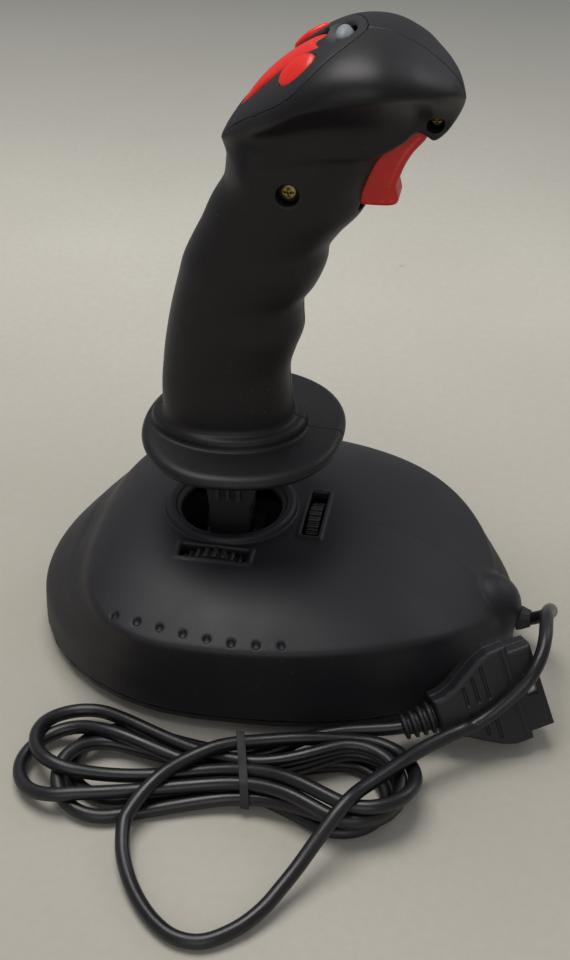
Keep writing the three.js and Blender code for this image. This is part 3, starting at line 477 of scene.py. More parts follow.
def make_lights():
    bpy.context.scene.view_settings.view_transform = "Standard"
    world = bpy.data.worlds.new("studio")
    bpy.context.scene.world = world
    world.use_nodes = True
    background = world.node_tree.nodes["Background"]
    background.inputs["Color"].default_value = (0.92, 0.94, 1.0, 1)
    background.inputs["Strength"].default_value = 0.27
    area_light("overhead", (-0.15, -0.2, 1.3), (0, 0, 0), 0.9, 12.5, (1.0, 0.98, 0.95))
    area_light("window", (-0.9, 0.9, 0.9), (0, 0, 0.1), 0.7, 2.2, (0.95, 0.97, 1.0))
    area_light("room", (1.1, 0.1, 0.55), (0, 0, 0.1), 0.9, 2.2, (1.0, 0.98, 0.96))


make_floor()
make_lights()


# ------------------------------------------------------------------ implicit shapes
def smooth_max(a, b, blend):
    share = np.clip(0.5 + 0.5 * (a - b) / blend, 0, 1)
    return b + (a - b) * share + blend * share * (1 - share)


def smooth_min(a, b, blend):
    return -smooth_max(-a, -b, blend)


def slopes_of(field, points):
    """The field's gradient at some points, by central differences."""
    nudge = 0.02
    slopes = np.empty_like(points)
    for axis in range(3):
        ahead, behind = points.copy(), points.copy()
        ahead[:, axis] += nudge
        behind[:, axis] -= nudge
        slopes[:, axis] = (field(*ahead.T) - field(*behind.T)) / (2 * nudge)
    return slopes


def skin_of(field, low, high, step):
    """Points and quads of the surface where the field is 0, one point in each crossed cell."""
    step *= ROUGH_STEP
    axes = [np.arange(a - step, b + 2 * step, step) for a, b in zip(low, high)]
    values = field(*np.meshgrid(*axes, indexing="ij", sparse=True)).astype(np.float32)
    inside = values < 0
    corners = [(i, j, k) for i in (0, 1) for j in (0, 1) for k in (0, 1)]
    size = [n - 1 for n in inside.shape]
    count = np.zeros(size, np.int8)
    for i, j, k in corners:
        count += inside[i:i + size[0], j:j + size[1], k:k + size[2]]
    crossed_cells = (count > 0) & (count < 8)
    cells = np.argwhere(crossed_cells)
    number = np.full(size, -1, np.int32)
    number[crossed_cells] = np.arange(len(cells))
    total, hits = np.zeros((len(cells), 3)), np.zeros(len(cells))
    for corner in corners:
        for axis in range(3):
            if corner[axis]:
                continue
            start = cells + corner
            end = start.copy()
            end[:, axis] += 1
            a, b = values[tuple(start.T)], values[tuple(end.T)]
            cut = (a < 0) != (b < 0)
            spot = start[cut].astype(float)
            spot[:, axis] += a[cut] / (a[cut] - b[cut])
            total[cut] += spot
            hits[cut] += 1
    points = np.array([axis[0] for axis in axes]) + step * total / hits[:, None]
    for _ in range(2):
        slopes = slopes_of(field, points)
        move = field(*points.T) / np.maximum((slopes ** 2).sum(1), 0.05)
        points -= np.clip(move, -0.4 * step, 0.4 * step)[:, None] * slopes
    quads = []
    for axis in range(3):
        side_a, side_b = [other for other in range(3) if other != axis]
        near = [slice(1, -1)] * 3
        near[axis] = slice(0, -1)
        far = list(near)
        far[axis] = slice(1, None)
        a, b = inside[tuple(near)], inside[tuple(far)]
        edges = np.argwhere(a != b)
        offset = np.ones(3, int)
        offset[axis] = 0
        edges += offset
        leaving = a[tuple((edges - offset).T)]
        ring = []
        for back_a, back_b in ((0, 0), (1, 0), (1, 1), (0, 1)):
            cell = edges.copy()
            cell[:, side_a] -= back_a
            cell[:, side_b] -= back_b
            ring.append(number[tuple(cell.T)])
        ring = np.stack(ring, 1)
        turn = leaving if axis == 1 else ~leaving
        ring[turn] = ring[turn][:, ::-1]
        quads.append(ring)
    return points, np.concatenate(quads)


def mesh_object(name, points, faces):
    """A smooth-shaded mesh from points in metres and an array of quads."""
    mesh = bpy.data.meshes.new(name)
    mesh.vertices.add(len(points))
    mesh.vertices.foreach_set("co", np.asarray(points, np.float32).ravel())
    mesh.loops.add(faces.size)
    mesh.loops.foreach_set("vertex_index", faces.astype(np.int32).ravel())
    mesh.polygons.add(len(faces))
    mesh.polygons.foreach_set("loop_start", np.arange(len(faces), dtype=np.int32) * faces.shape[1])
    mesh.update(calc_edges=True)
    mesh.validate()
    mesh.shade_smooth()
    return bpy.data.objects.new(name, mesh)


def curve_through(stations):
    """Smooth values of a table's other columns at any place in its first column."""
    table = np.array(stations, float)
    at, values = table[:, 0], table[:, 1:]
    slopes = np.gradient(values, at, axis=0)
    fine = np.linspace(at[0], at[-1], 40 * len(at))
    i = np.clip(np.searchsorted(at, fine) - 1, 0, len(at) - 2)
    width = (at[i + 1] - at[i])[:, None]
    t = (fine - at[i])[:, None] / width
    rise = values[i + 1] - values[i]
    curve = values[i] + t * width * slopes[i]
    curve += t ** 2 * (3 * rise - width * (2 * slopes[i] + slopes[i + 1]))
    curve += t ** 3 * (width * (slopes[i] + slopes[i + 1]) - 2 * rise)
    return lambda place: [np.interp(place, fine, column) for column in curve.T]


def superellipse(u, v, power):
    return (np.abs(u) ** power + np.abs(v) ** power) ** (1 / power)


def outline_distance(u, v, outline):
    """Signed distance to a closed outline in its plane, negative inside."""
    u, v = np.broadcast_arrays(u, v)
    nearest = np.full(u.shape, np.inf)
    inside = np.zeros(u.shape, bool)
    for (au, av), (bu, bv) in zip(outline, np.roll(outline, -1, axis=0)):
        eu, ev = bu - au, bv - av
        wu, wv = u - au, v - av
        share = np.clip((wu * eu + wv * ev) / (eu * eu + ev * ev), 0, 1)
        nearest = np.minimum(nearest, (wu - share * eu) ** 2 + (wv - share * ev) ** 2)
        if ev != 0:
            inside ^= ((av > v) != (bv > v)) & (u < au + wv * eu / ev)
    return np.where(inside, -1, 1) * np.sqrt(nearest)


def rounded(outline, rounds=3):
    """An outline with its corners cut off a few times, so that it reads as a smooth curve."""
    points = np.array(outline, float)
    for _ in range(rounds):
        after = np.roll(points, -1, axis=0)
        points = np.stack([0.75 * points + 0.25 * after, 0.25 * points + 0.75 * after], 1).reshape(-1, 2)
    return points


# ------------------------------------------------------------------ stick: grip, head and skirt
# Going up the grip: height, rear, front and half width.
GRIP = curve_through([
    (84, -24.5, 24.5, 18.4), (99, -24, 23.5, 17.8), (108, -23.8, 22.5, 17.4), (116, -23, 22.4, 17.2),
    (124, -22, 24.6, 17.4), (132, -20.6, 27.2, 17.6), (138, -19.4, 27, 17.4), (143, -18.2, 27.2, 17.4),
    (150, -16.4, 31.5, 17.8), (158, -14.2, 34.8, 18.2), (165, -11, 36, 18), (171, -8, 40, 18.2),
    (179, -4.5, 46.8, 18.6), (188, 0.5, 49, 19), (197, 2.4, 52.6, 18.8), (206, 5, 58, 18), (214, 10, 62, 17),
])
# Going forward along the head: Y, top, half width, height of the widest line, underside, its half width.
HEAD = curve_through([
    (0.8, 203.6, 7.6, 202.2, 200.6, 5.5), (5, 209.8, 12.8, 204.6, 200.6, 10),
    (13, 218.9, 19.8, 209.8, 201.4, 15), (22, 227.6, 26.4, 215.8, 202.4, 17),
    (30, 234, 29.4, 220.8, 203.6, 17.5), (38, 237.9, 31, 223.8, 204, 17),
    (46, 239.2, 31.2, 225.8, 203, 16), (54, 238.3, 29.8, 226.8, 203.4, 14),
    (60, 236, 26.8, 226.6, 206.6, 12.6), (64.5, 233.6, 23.6, 225.8, 210, 11.4),
    (67, 231.8, 21, 224.8, 208.6, 10.4), (69, 230.4, 18.8, 224, 207.2, 9.8),
    (72, 227.8, 15, 223, 208.8, 9), (75.5, 223.8, 8.5, 221.2, 213, 6), (77.6, 219.8, 3, 218.8, 216.4, 2.5),
])
GRIP_TOP = 212
SKIRT = {"half": 39.8, "front": 42.3, "rear": 32, "bottom": 85, "top": 90.6}
SCREW = {"y": 24.5, "z": 189.5, "seat": 14.2, "pocket": 3.8, "head": 2.9}
CHIN_SCREW = {"y": 69.6, "z": 213, "seat": 3.6, "pocket": 2.7, "head": 2.1}

PANEL_TILT = math.radians(42)
PANEL_ORIGIN = np.array([0, 20, 221])
PANEL_AXES = np.array([
    [1, 0, 0],
    [0, math.cos(PANEL_TILT), math.sin(PANEL_TILT)],
    [0, -math.sin(PANEL_TILT), math.cos(PANEL_TILT)],
])
HAT_V = 24.5
HAT_DISH = {"radius": 9, "middle": 5.6, "squeeze": 0.8}
THUMB_PAD = {"rise": 2.8, "y": 9.5, "z": 198, "half": 6, "height": 9}
SHAFT_SOCKET = {"half": 9.5, "y": 3.2, "reach": 13.2, "top": 112}


def in_panel(x, y, z):
    """Panel coordinates: across, up along its slope, and out of it."""
    dy, dz = y - PANEL_ORIGIN[1], z - PANEL_ORIGIN[2]
    return x, dy * PANEL_AXES[1, 1] + dz * PANEL_AXES[1, 2], dy * PANEL_AXES[2, 1] + dz * PANEL_AXES[2, 2]


def egg_distance(x, y, half, front, rear, blunt_front, blunt_rear):
    """Roughly the distance to an egg outline whose blunter end may be either."""
    ahead = y >= 0
    power = np.where(ahead, blunt_front, blunt_rear)
    reach = np.where(ahead, front, rear)
    radius = np.maximum(superellipse(x / half, y / reach, power), 0.05)
    return (1 - 1 / radius) * np.hypot(x, y)


def grip_field(x, y, z):
    rear, front, half = GRIP(z)
    middle, reach = (rear + front) / 2, (front - rear) / 2
    along = (y - middle) / reach
    width = half * (1 - 0.1 * np.clip(along, -1, 1))
    radius = np.maximum(superellipse(x / width, along, 2.3), 0.05)
    up, ahead = (z - THUMB_PAD["z"]) / THUMB_PAD["height"], (y - THUMB_PAD["y"]) / THUMB_PAD["half"]
    pad = THUMB_PAD["rise"] * np.exp(-up ** 2 - ahead ** 2)
    side = (1 - 1 / radius) * np.hypot(x, y - middle) - pad
    return smooth_max(side, smooth_max(z - GRIP_TOP, SKIRT["bottom"] - z, 1), 3)


def head_field(x, y, z):
    top, half, ridge, under, under_half = HEAD(y)
    rise = np.maximum(z - ridge, 0) / np.maximum(top - ridge, 0.8)
    dome = np.maximum(superellipse(x / half, rise, 2.5), 0.05)
    upper = (1 - 1 / dome) * np.hypot(x, np.maximum(z - ridge, 0))
    depth = np.clip((ridge - z) / (ridge - under), -1, 1)
    side = np.abs(x) - (under_half + (half - under_half) * (1 - depth) ** 2.2)
    lower = smooth_max(side * 0.7, under - z, 2)
    ends = smooth_max(0.8 - y, y - 77.8, 1)
    return smooth_max(smooth_max(upper, lower, 2.2), ends, 1.5)


def skirt_field(x, y, z):
    outline = egg_distance(x, y, SKIRT["half"], SKIRT["front"], SKIRT["rear"], 2.3, 2.0)
    plate = smooth_max(outline, smooth_max(SKIRT["bottom"] - z, z - SKIRT["top"], 0.5), 4.5)
    hollow = smooth_max(outline + 3.6, z - SKIRT["bottom"] - 2.4, 1)
    step = (1 - 1 / np.maximum(superellipse(x / 22, y / 28.5, 2), 0.05)) * np.hypot(x, y)
    step = smooth_max(step, z - 94.6, 3)
    return smooth_max(smooth_min(plate, smooth_max(step, 86 - z, 1), 1.6), -hollow, 0.8)


TRIGGER_BAY = rounded([
    (36, 181.2), (64, 180.4), (66, 203.5), (66, 211), (63.6, 214.5), (52, 214.5), (44, 206), (36, 196),
], 2)


def stick_field(x, y, z):
    shape = smooth_min(grip_field(x, y, z), head_field(x, y, z), 5)
    shape = smooth_min(shape, skirt_field(x, y, z), 2.5)
    bay = smooth_max(outline_distance(y, z, TRIGGER_BAY), np.abs(x) - 7.1, 0.6)
    shape = smooth_max(shape, -bay, 0.8)
    for spot in (SCREW, CHIN_SCREW):
        pocket = smooth_max(np.hypot(y - spot["y"], z - spot["z"]) - spot["pocket"], spot["seat"] - x, 0.4)
        shape = smooth_max(shape, -pocket, 0.5)
    u, v, h = in_panel(x, y, z)
    across, out = HAT_DISH["squeeze"] * u, h - HAT_DISH["middle"]
    dish = np.sqrt(across ** 2 + (v - HAT_V) ** 2 + out ** 2) - HAT_DISH["radius"]
    shape = smooth_max(shape, -dish, 1.0)
    sides = np.abs(x) - SHAFT_SOCKET["half"], np.abs(y - SHAFT_SOCKET["y"]) - SHAFT_SOCKET["reach"]
    socket = smooth_max(smooth_max(*sides, 0.5), z - SHAFT_SOCKET["top"], 0.5)
    return smooth_max(shape, -socket, 0.5)


def score(mesh, measure):
    """Adds a line of edges where measure(points) is zero, and returns its vertices."""
    mesh.verts.ensure_lookup_table()
    values = measure(np.array([v.co for v in mesh.verts]))
    mesh.verts.index_update()
    fresh = []
    for edge in list(mesh.edges):
        a, b = edge.verts
        low, high = values[a.index], values[b.index]
        if low * high < 0:
            share = float(np.clip(low / (low - high), 0.02, 0.98))
            fresh.append(bmesh.utils.edge_split(edge, a, share)[1])
    bmesh.ops.connect_verts(mesh, verts=fresh)
    return fresh


def panel_edge(points, outline):
    """Distance of points to an outline drawn on the panel; those under the head count as outside."""
    u, v, h = in_panel(*points.T)
    widest = HEAD(points[:, 1])[2]
    near_face = (h > -4.2 - 0.22 * np.clip(v, 0, 40)) | ((points[:, 2] > widest) & (v > -8))
    return np.where(near_face, outline_distance(u, v, outline), 50.0)


PANEL_HALF = [
    (7, -27), (10, -21), (14.4, -14), (20, -6.5), (24.6, 1.4), (26.4, 8), (25, 15), (20.6, 22), (12.6, 29),
]
PANEL_OUTLINE = rounded(PANEL_HALF + [(0, 32.5)] + [(-u, v) for u, v in reversed(PANEL_HALF)])
CENTRE_HALF = [(1.6, -19.6), (3.8, -12), (5.6, -4), (6.8, 5), (7.8, 13), (9.4, 20), (4.6, 17)]
CENTRE_BUTTON = rounded(CENTRE_HALF + [(0, 15.4)] + [(-u, v) for u, v in reversed(CENTRE_HALF)], 2)


def side_button(side):
    """The leaf-shaped outline of a side button; +1 is the right one."""
    leaf = [
        (11.2, 5.6), (14.2, 3.4), (18.2, 4.4), (20.6, 8), (20.4, 13), (18, 16.8), (14, 18.6), (11.4, 15.6),
        (10.2, 10.6),
    ]
    leaf = leaf if side > 0 else [(-u, v) for u, v in reversed(leaf)]
    return rounded(leaf, 2)


BUTTON_OUTLINES = {"centre": CENTRE_BUTTON, "right": side_button(1), "left": side_button(-1)}


def bmesh_of(points, faces):
    scratch = mesh_object("scratch", points, faces)
    mesh = bmesh.new()
    mesh.from_mesh(scratch.data)
    mesh.normal_update()
    bpy.data.objects.remove(scratch)
    return mesh


def piece_from(mesh, name):
    """A finished mesh object from a bmesh in millimetres, placed in the frame."""
    data = bpy.data.meshes.new(name)
    mesh.to_mesh(data)
    mesh.free()
    spots = np.zeros(len(data.vertices) * 3, np.float32)
    data.vertices.foreach_get("co", spots)
    data.vertices.foreach_set("co", placed(spots.reshape(-1, 3)).astype(np.float32).ravel())
    data.update()
    data.shade_smooth()
    return bpy.data.objects.new(name, data)


def part_of(mesh, keep, sink):
    """A copy of the faces whose middles keep() accepts, its cut edges sunk a little to make a seam."""
    piece = mesh.copy()
    middles = np.array([face.calc_center_median() for face in piece.faces])
    wanted = keep(middles)
    bmesh.ops.delete(piece, geom=[f for f, good in zip(list(piece.faces), wanted) if not good], context="FACES")
    rims = {vert for edge in piece.edges if edge.is_boundary for vert in edge.verts}
    for vert in rims:
        vert.co -= vert.normal * sink
    return piece


SEAM_HALF = 0.42
SEAM_DEPTH = 0.5
HOLE_GAP = 0.35
HAT_ROOM = (1.3, 1.6)
GRIP_WALL = 1.5
PANEL_WALL = 2.2


def thickened(piece, thickness):
    """A closed wall of the given thickness, grown inwards from an open skin."""
    wall = piece.modifiers.new("wall", "SOLIDIFY")
    wall.thickness = thickness * MM
    wall.offset = -1
    return piece


def hat_opening():
    """The oval opening in the panel that leaves the hat room to rock."""
    angles = np.linspace(0, 2 * math.pi, 36, endpoint=False)
    across, along = HAT_HALF[0] + HAT_ROOM[0], HAT_HALF[1] + HAT_ROOM[1]
    return np.stack([across * np.cos(angles), HAT_V - 0.3 + along * np.sin(angles)], 1)


def make_stick_shells():
    whole = bmesh_of(*skin_of(stick_field, (-40.5, -33, 84.5), (40.5, 78.5, 241.5), 0.6))
    for shift in (-SEAM_HALF, 0, SEAM_HALF):
        score(whole, lambda points: points[:, 0] - shift)
    for shift in (-SEAM_HALF, 0, SEAM_HALF):
        score(whole, lambda points: panel_edge(points, PANEL_OUTLINE) - shift)
    whole.normal_update()
    for side, name in ((1, "grip_shell_right"), (-1, "grip_shell_left")):
        node = "grip_right_half" if side > 0 else "grip_left_half"
        half = part_of(whole, lambda m: (m[:, 0] * side > 0) & (panel_edge(m, PANEL_OUTLINE) > 0), SEAM_DEPTH)
        finished(thickened(piece_from(half, name), GRIP_WALL), "stick", "grip_black", node)
    panel = part_of(whole, lambda m: panel_edge(m, PANEL_OUTLINE) < 0, SEAM_DEPTH)
    holes = [*BUTTON_OUTLINES.values(), hat_opening()]
    for outline in holes:
        for grow in (HOLE_GAP + 0.4, HOLE_GAP):
            score(panel, lambda points: panel_edge(points, outline) - grow)
    panel.normal_update()
    opened = part_of(panel, lambda m: np.min([panel_edge(m, hole) for hole in holes], axis=0) > HOLE_GAP, 0.0)
    shell = thickened(piece_from(opened, "thumb_panel_shell"), PANEL_WALL)
    finished(shell, "stick", "case_black", "thumb_panel")


# ------------------------------------------------------------------ buttons, hat and trigger
def from_panel(points):
    return points @ PANEL_AXES + PANEL_ORIGIN


def make_buttons():
    for key, outline in BUTTON_OUTLINES.items():
        def field(u, v, h):
            if key == "centre":
                top = 5.2 - 0.009 * (v - 2) ** 2 - 0.036 * u ** 2
            else:
                top = 4.9 - 0.06 * (np.abs(u) - 13) ** 2 - 0.14 * (np.abs(u) - 10) - 0.024 * (v - 10) ** 2
            return smooth_max(outline_distance(u, v, outline), smooth_max(h - top, -5.5 - h, 0.3), 1.5)

        low, high = outline.min(0) - 0.6, outline.max(0) + 0.6
        points, quads = skin_of(field, (*low, -6), (*high, 6.6), 0.32)
        name = f"thumb_button_{key}"
        piece = mesh_object(name + "_cap", placed(from_panel(points)), quads)
        finished(piece, name, "button_red", name)


HAT_HALF = (5.0, 2.6)
HAT_DOME = {"height": 2.6, "sunk": 1.2}


def make_hat():
    def field(u, v, h):
        across = np.hypot(u / HAT_HALF[0], (v - HAT_V) / HAT_HALF[1])
        dome = (np.hypot(across, (h + HAT_DOME["sunk"]) / HAT_DOME["height"]) - 1) * HAT_DOME["height"]
        stem = smooth_max((across - 0.98) * HAT_HALF[1], np.abs(h + 4) - 2.2, 0.4)
        return smooth_min(dome, stem, 0.5)

    points, quads = skin_of(field, (-5.6, HAT_V - 4, -6.6), (5.6, HAT_V + 4, 2), 0.2)
    finished(mesh_object("hat_nub", placed(from_panel(points)), quads), "hat", "hat_grey", "hat_cap")


TRIGGER_OUTLINE = rounded([
    (67, 206.4), (63, 202), (60.2, 197), (58.6, 192.2), (57.6, 189), (58.3, 186.6), (58.8, 184), (57, 182.4),
    (50, 182.1), (45.4, 182.2), (44.6, 184.4), (45.6, 190), (47.6, 196), (51.2, 203), (54, 209), (58, 213),
    (64.4, 213), (66.8, 209.4),
], 3)
TRIGGER_HALF = 6.3
TRIGGER_CHANNEL = {"half": 3.8, "y": 50.8, "bend_z": 190}


def make_trigger():
    def field(x, y, z):
        blade = smooth_max(outline_distance(y, z, TRIGGER_OUTLINE), np.abs(x) - TRIGGER_HALF, 2.0)
        behind = y - TRIGGER_CHANNEL["y"] - 0.45 * np.maximum(z - TRIGGER_CHANNEL["bend_z"], 0)
        channel = smooth_max(np.abs(x) - TRIGGER_CHANNEL["half"], behind, 0.6)
        return smooth_max(blade, -channel, 0.6)

    points, quads = skin_of(field, (-7, 41.5, 179), (7, 67.2, 214.3), 0.35)
    finished(mesh_object("trigger_blade", placed(points), quads), "trigger", "trigger_red", "trigger")


def make_screw(name, node, place):
    """A pan-head screw that looks along +X, with a cross recess."""
    def field(a, b, h):
        radius = np.hypot(a, b)
        head = smooth_max(radius - place["head"], h - 2.1 + 0.06 * radius ** 2, 0.9)
        wing = place["head"] * 0.62
        arm, other_arm = (np.maximum(np.abs(p) - 0.4, np.abs(q) - wing) for p, q in ((a, b), (b, a)))
        arms = np.minimum(arm, other_arm)
        cross = smooth_max(arms + 0.18 * (2 - h), 0.7 - h, 0.15)
        return smooth_max(smooth_max(head, -h, 0.2), -cross, 0.12)

    points, quads = skin_of(field, (-3.4, -3.4, -0.2), (3.4, 3.4, 2.4), 0.12)
    turned = points[:, [2, 0, 1]] + np.array([place["seat"], place["y"], place["z"]])
    finished(mesh_object(name, placed(turned), quads), "stick", "brass_screw", node)


make_stick_shells()
make_buttons()
make_hat()
make_trigger()
make_screw("grip_screw_head", "grip_screw", SCREW)
make_screw("chin_screw_head", "chin_screw", CHIN_SCREW)


# ------------------------------------------------------------------ base
RIDGE = {"half": 70.5, "front": 102, "rear": 51.5, "blunt_front": 2.2, "blunt_rear": 2.6}
RIM = {"half": 68, "front": 110, "rear": 73.5, "blunt_front": 2.3, "blunt_rear": 2.05}
RIDGE_Z = 40
NOSE_DROP = 16
DOME_Z = 51.5
RIM_Z = 6.8
SKIN = 2.6
# How far the wall has come from the rim's outline to the ridge's, going up.
WALL_SHARE = curve_through([
    (0, 0), (0.2, 0.015), (0.42, 0.07), (0.7, 0.5), (0.93, 0.93), (1.0, 1.0), (1.2, 1.12),
])
DIMPLE_ROW = {"count": 8, "first": -30.2, "pitch": 8.72, "x": 66.6}
DIMPLES = []
for i in range(DIMPLE_ROW["count"]):
    dimple_y = DIMPLE_ROW["first"] + i * DIMPLE_ROW["pitch"]
    DIMPLES.append((DIMPLE_ROW["x"] - 0.0062 * abs(dimple_y - 11) ** 1.9, dimple_y))
CORD_BOSS = {"y": 98.5, "z": 17, "half": 13, "reach": 13.5}
COLLAR = {"radius": 22.8, "z": 52.1, "bead": 2.1}
LIP = {"radius": 20.2, "z": 50.9, "bead": 1.1}
SIDE_SLOT = (26.8, -13, 33.2, 12.4)
FRONT_SLOT = (-14, 28.8, 14, 35.2)
WHEEL = {"radius": 19.2, "ribs": 36}


def egg_norm(x, y, egg):
    reach = np.where(y >= 0, egg["front"], egg["rear"])
    power = np.where(y >= 0, egg["blunt_front"], egg["blunt_rear"])
    return np.maximum(superellipse(x / egg["half"], y / reach, power), 0.02)


def base_body(x, y, z, inset=0.0):
    """The wall and dome without the collar, moved inwards by the inset."""
    norm = egg_norm(x, y, RIDGE)
    ahead = np.clip(y / (RIDGE["front"] * norm), 0, 1) ** 1.1
    ridge = RIDGE_Z - NOSE_DROP * ahead ** 5.5
    distance = np.hypot(x, y) + 1e-6
    ring = norm * 25.5 / distance
    fall = np.clip((norm - ring) / (1 - np.minimum(ring, 0.9)), 0, 1.25) ** (2 + 0.6 * ahead)
    crease = 0.55 * np.exp(-np.abs(x) / 1.6) * np.clip((y - 50) / 12, 0, 1)
    dome = (z - (DOME_Z - (DOME_Z - ridge) * fall) - crease) * 0.93
    share, = WALL_SHARE(np.clip((z - 6.5) / (ridge - 6.5), 0, 1.2))
    half = RIM["half"] + (RIDGE["half"] - RIM["half"]) * share
    front = RIM["front"] + (RIDGE["front"] - RIM["front"]) * share
    rear = RIM["rear"] + (RIDGE["rear"] - RIM["rear"]) * share
    blunt_front = RIM["blunt_front"] + (RIDGE["blunt_front"] - RIM["blunt_front"]) * share
    blunt_rear = RIM["blunt_rear"] + (RIDGE["blunt_rear"] - RIM["blunt_rear"]) * share
    wall = egg_distance(x, y, half, front, rear, blunt_front, blunt_rear) * 0.9
    return smooth_max(wall + inset, dome + inset, 1.6)


def base_field(x, y, z):
    shape = base_body(x, y, z)
    half = CORD_BOSS["half"]
    ahead, up = (y - CORD_BOSS["y"]) / CORD_BOSS["reach"], (z - CORD_BOSS["z"]) / half
    boss = (np.sqrt((x / half) ** 2 + ahead ** 2 + up ** 2) - 1) * half
    shape = smooth_min(shape, boss, 2)
    skin = shape
    radius = np.hypot(x, y)
    ring, lip = (np.hypot(radius - at["radius"], z - at["z"]) - at["bead"] for at in (COLLAR, LIP))
    shape = smooth_min(shape, ring, 0.7)
    cup = radius - (16.4 + (z - 44.5) * 3.4 / 8.4)
    shape = smooth_max(shape, -cup, 1.2)
    shape = smooth_min(shape, smooth_max(lip, -cup - 0.8, 0.4), 0.5)
    hollow = np.minimum(base_body(x, y, z, SKIN), smooth_max(radius - 21.4, z - 49.6, 1))
    shape = smooth_max(shape, -hollow, 0.3)
    for low, high in ((SIDE_SLOT[:2], SIDE_SLOT[2:]), (FRONT_SLOT[:2], FRONT_SLOT[2:])):
        middle, reach = (np.array(low) + high) / 2, (np.array(high) - low) / 2
        slot = smooth_max(np.abs(x - middle[0]) - reach[0], np.abs(y - middle[1]) - reach[1], 0.8)
        frame_rib = smooth_max(smooth_max(slot - 1.5, shape - 0.5, 0.4), 40 - z, 0.4)
        shape = smooth_max(smooth_min(shape, frame_rib, 0.3), -smooth_max(slot, 40 - z, 0.3), 0.4)
    for side in (-1, 1):
        for dx, dy in DIMPLES:
            dent = np.maximum(np.hypot(x - side * dx, y - dy) - 1.3, np.maximum(-1.3 - skin, 35 - z))
            shape = smooth_max(shape, -dent, 0.35)
    return smooth_max(shape, RIM_Z - z, 0.2)


def make_base_shell():
    points, quads = skin_of(base_field, (-71.5, -74.5, 6), (71.5, 111, 54.6), 0.8)
    piece = mesh_object("base_case", placed(points), quads)
    finished(piece, "base", "case_black", "base_top_shell")


def make_wheel(name, node, body, along_x):
    """A trim wheel: a disc with square-cut ribs round its rim, a hub and a web."""
    low, high = box_mm(node)
    centre = (low + high) / 2
    half = (high - low)[0 if along_x else 1] / 2

    def field(a, b, w):
        radius = np.hypot(a, b)
        cog = 0.5 + 0.5 * np.tanh(3.2 * np.cos(WHEEL["ribs"] * np.arctan2(b, a)))
        rim = smooth_max(radius - (WHEEL["radius"] - 1.5 + 1.4 * cog), np.abs(w) - half + 0.1, 0.5)
        dish = smooth_max(smooth_max(radius - 13.6, 6.2 - radius, 0.6), 1.1 - np.abs(w), 0.4)
        bore = radius - 3.2
        return smooth_max(smooth_max(rim, -dish, 0.4), -bore, 0.3)

    reach = WHEEL["radius"] + 0.3
    points, quads = skin_of(field, (-reach, -reach, -half - 0.3), (reach, reach, half + 0.3), 0.42)
    order = [2, 0, 1] if along_x else [0, 2, 1]
    piece = mesh_object(name, placed(points[:, order] + centre), quads)
    finished(piece, body, "nylon_dark", node)


make_base_shell()
make_wheel("pitch_trim_disc", "pitch_trim_wheel", "pitch_trim", True)
make_wheel("roll_trim_disc", "roll_trim_wheel", "roll_trim", False)

# ------------------------------------------------------------------ plug, its strain relief and the tie
PLUG_START = np.array([60.4, 85.5, 13.4])
PLUG_AXIS = np.array([45.5, 117.5, 21.8]) - PLUG_START
PLUG_AXIS /= np.linalg.norm(PLUG_AXIS)
PLUG_NORMAL = np.cross(PLUG_AXIS, [-0.38, -0.254, 0.889])
PLUG_NORMAL /= np.linalg.norm(PLUG_NORMAL)
PLUG_AXES = np.array([PLUG_AXIS, np.cross(PLUG_NORMAL, PLUG_AXIS), PLUG_NORMAL])
PLUG = {
    "length": 39, "shoulder": 30.5, "half": 18, "end_half": 15.5, "thick": 7.5, "pocket": 31.4, "relief": 12.6,
}
HOOD_SIDE = [
    (0, 7.6), (4, 7.9), (8, 9.4), (13, 12.6), (19, 16.2), (23.5, 17.8), (PLUG["shoulder"], PLUG["half"]),
]


def from_plug(points):
    return points @ PLUG_AXES + PLUG_START


def make_plug_hood():
    side = HOOD_SIDE + [(PLUG["shoulder"], PLUG["end_half"]), (PLUG["length"], PLUG["end_half"])]
    outline = np.array(side + [(u, -w) for u, w in reversed(side)])

    def field(u, w, h):
        thick = PLUG["thick"] - 0.9 * np.exp(-u / 5)
        belly = 0.5 * np.clip((PLUG["shoulder"] - u) / 4, 0, 1)
        shape = smooth_max(outline_distance(u, w, outline), np.abs(h) - thick + 0.5 - belly, 1.8)
        seam = np.hypot(h, np.minimum(outline_distance(u, w, outline), 0)) - 0.45
        shape = smooth_max(shape, -seam, 0.2)
        for groove in (11.5, 15.5, 19.5):
            reach = 2.2 + 0.33 * (groove - 8)
            line = np.maximum(np.abs(u - groove) - 0.5, np.abs(np.abs(w) - 1.6 - reach) - reach)
            shape = smooth_max(shape, -smooth_max(line, thick - 0.6 - np.abs(h), 0.3), 0.3)
        step = np.maximum(np.abs(u - PLUG["shoulder"] + 2.2) - 0.35, thick - 0.5 - np.abs(h))
        shape = smooth_max(shape, -step, 0.3)
        pocket = np.maximum(np.maximum(PLUG["pocket"] - u, np.abs(w) - 13.7), np.abs(h) - 5.5)
        window = np.maximum(np.maximum(np.abs(u - PLUG["pocket"] - 3.4) - 1.8, np.abs(w - 1.5) - 4.2), 4 - h)
        return smooth_max(smooth_max(shape, -pocket, 0.5), -window, 0.3)

    points, quads = skin_of(field, (-0.6, -18.6, -8.2), (39.6, 18.6, 8.2), 0.42)
    piece = mesh_object("plug_cover", placed(from_plug(points)), quads)
    return finished(piece, "base", "plug_black", "plug_hood")


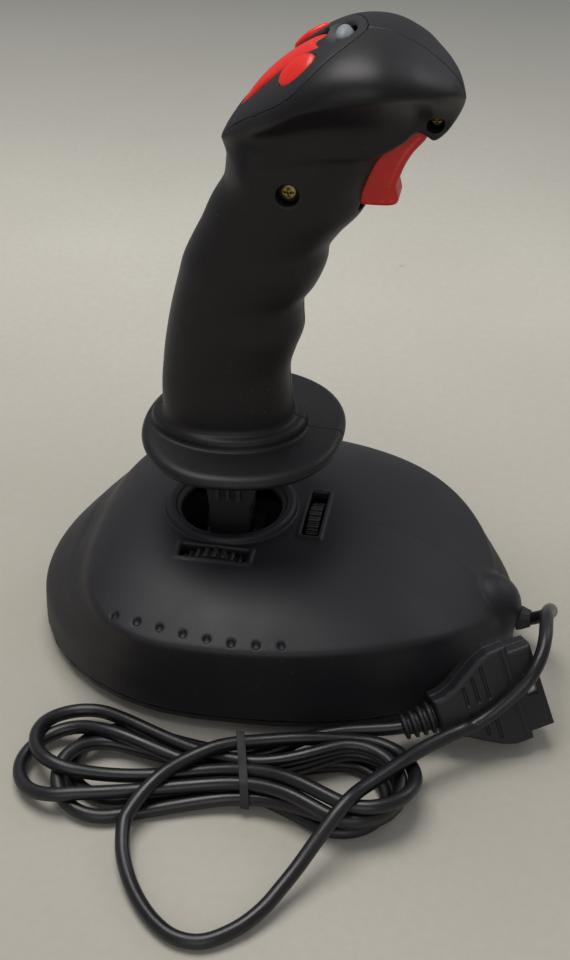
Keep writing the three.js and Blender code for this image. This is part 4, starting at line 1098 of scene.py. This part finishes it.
def make_plug_relief():
    def field(u, w, h):
        radius = np.hypot(w, h)
        share = (u + PLUG["relief"]) / PLUG["relief"]
        ring = np.clip(np.sin(2 * math.pi * (4 * share - 0.12)) * 2.2, -1, 1)
        body = 3.7 + 1.6 * share + 0.75 * ring
        shape = smooth_max(radius - body, np.abs(u + PLUG["relief"] / 2) - PLUG["relief"] / 2, 0.7)
        return smooth_max(shape, -(radius - CORD_RADIUS + 0.4), 0.2)

    points, quads = skin_of(field, (-13.2, -6.6, -6.6), (0.4, 6.6, 6.6), 0.3)
    piece = mesh_object("plug_bend_relief", placed(from_plug(points)), quads)
    return finished(piece, "base", "plug_black", "plug_strain_relief")


def make_tie(course):
    """A narrow band drawn tight round the strands where the hank is tied."""
    angles = np.linspace(0, 2 * math.pi, 72, endpoint=False)
    outward = np.stack([np.cos(angles), np.sin(angles)], 1)
    strands = course[(np.abs(course[:, 1] - TIE_Y) < 2.5) & (course[:, 0] < 115)][:, [0, 2]]
    hull = strands[np.argmax(strands @ outward.T, axis=0)]
    rings = []
    for grow, width in ((0.1, -1.5), (0.1, 1.5), (0.7, 1.5), (0.7, -1.5)):
        ring = hull + outward * (CORD_RADIUS + grow)
        height = np.maximum(ring[:, 1], 0.05 if grow > 0.5 else 0.3)
        rings.append(np.stack([ring[:, 0], TIE_Y + width + 0.26 * (ring[:, 0] - 92), height], 1))
    points = np.concatenate(rings)
    count = len(angles)
    faces = []
    for band in range(4):
        for i in range(count):
            j, beyond = (i + 1) % count, (band + 1) % 4
            faces.append((band * count + i, band * count + j, beyond * count + j, beyond * count + i))
    piece = mesh_object("cord_tie_band", placed(points), np.array(faces))
    rounding = piece.modifiers.new("rounding", "BEVEL")
    rounding.width = 0.2 * MM
    rounding.segments = 2
    return finished(piece, "base", "foot_rubber", "cable_tie")


COURSE = whole_cord()
cord = finished(cord_curve("cord", COURSE), "base", "cord_pvc", "cord_lead", "cord_hank", "cord_tail")
plug_pieces = [make_plug_hood(), make_plug_relief(), make_tie(COURSE)]
plug_pieces += [frame["nodes"]["plug_shell"], frame["nodes"]["plug_insert"], frame["nodes"]["cord_grommet"]]

for name, node in frame["nodes"].items():
    wanted = next(row["material_slot"] for row in frame["record"]["subparts"] if row["node"] == name)
    node.data.materials.clear()
    node.data.materials.append(FINISH[wanted])
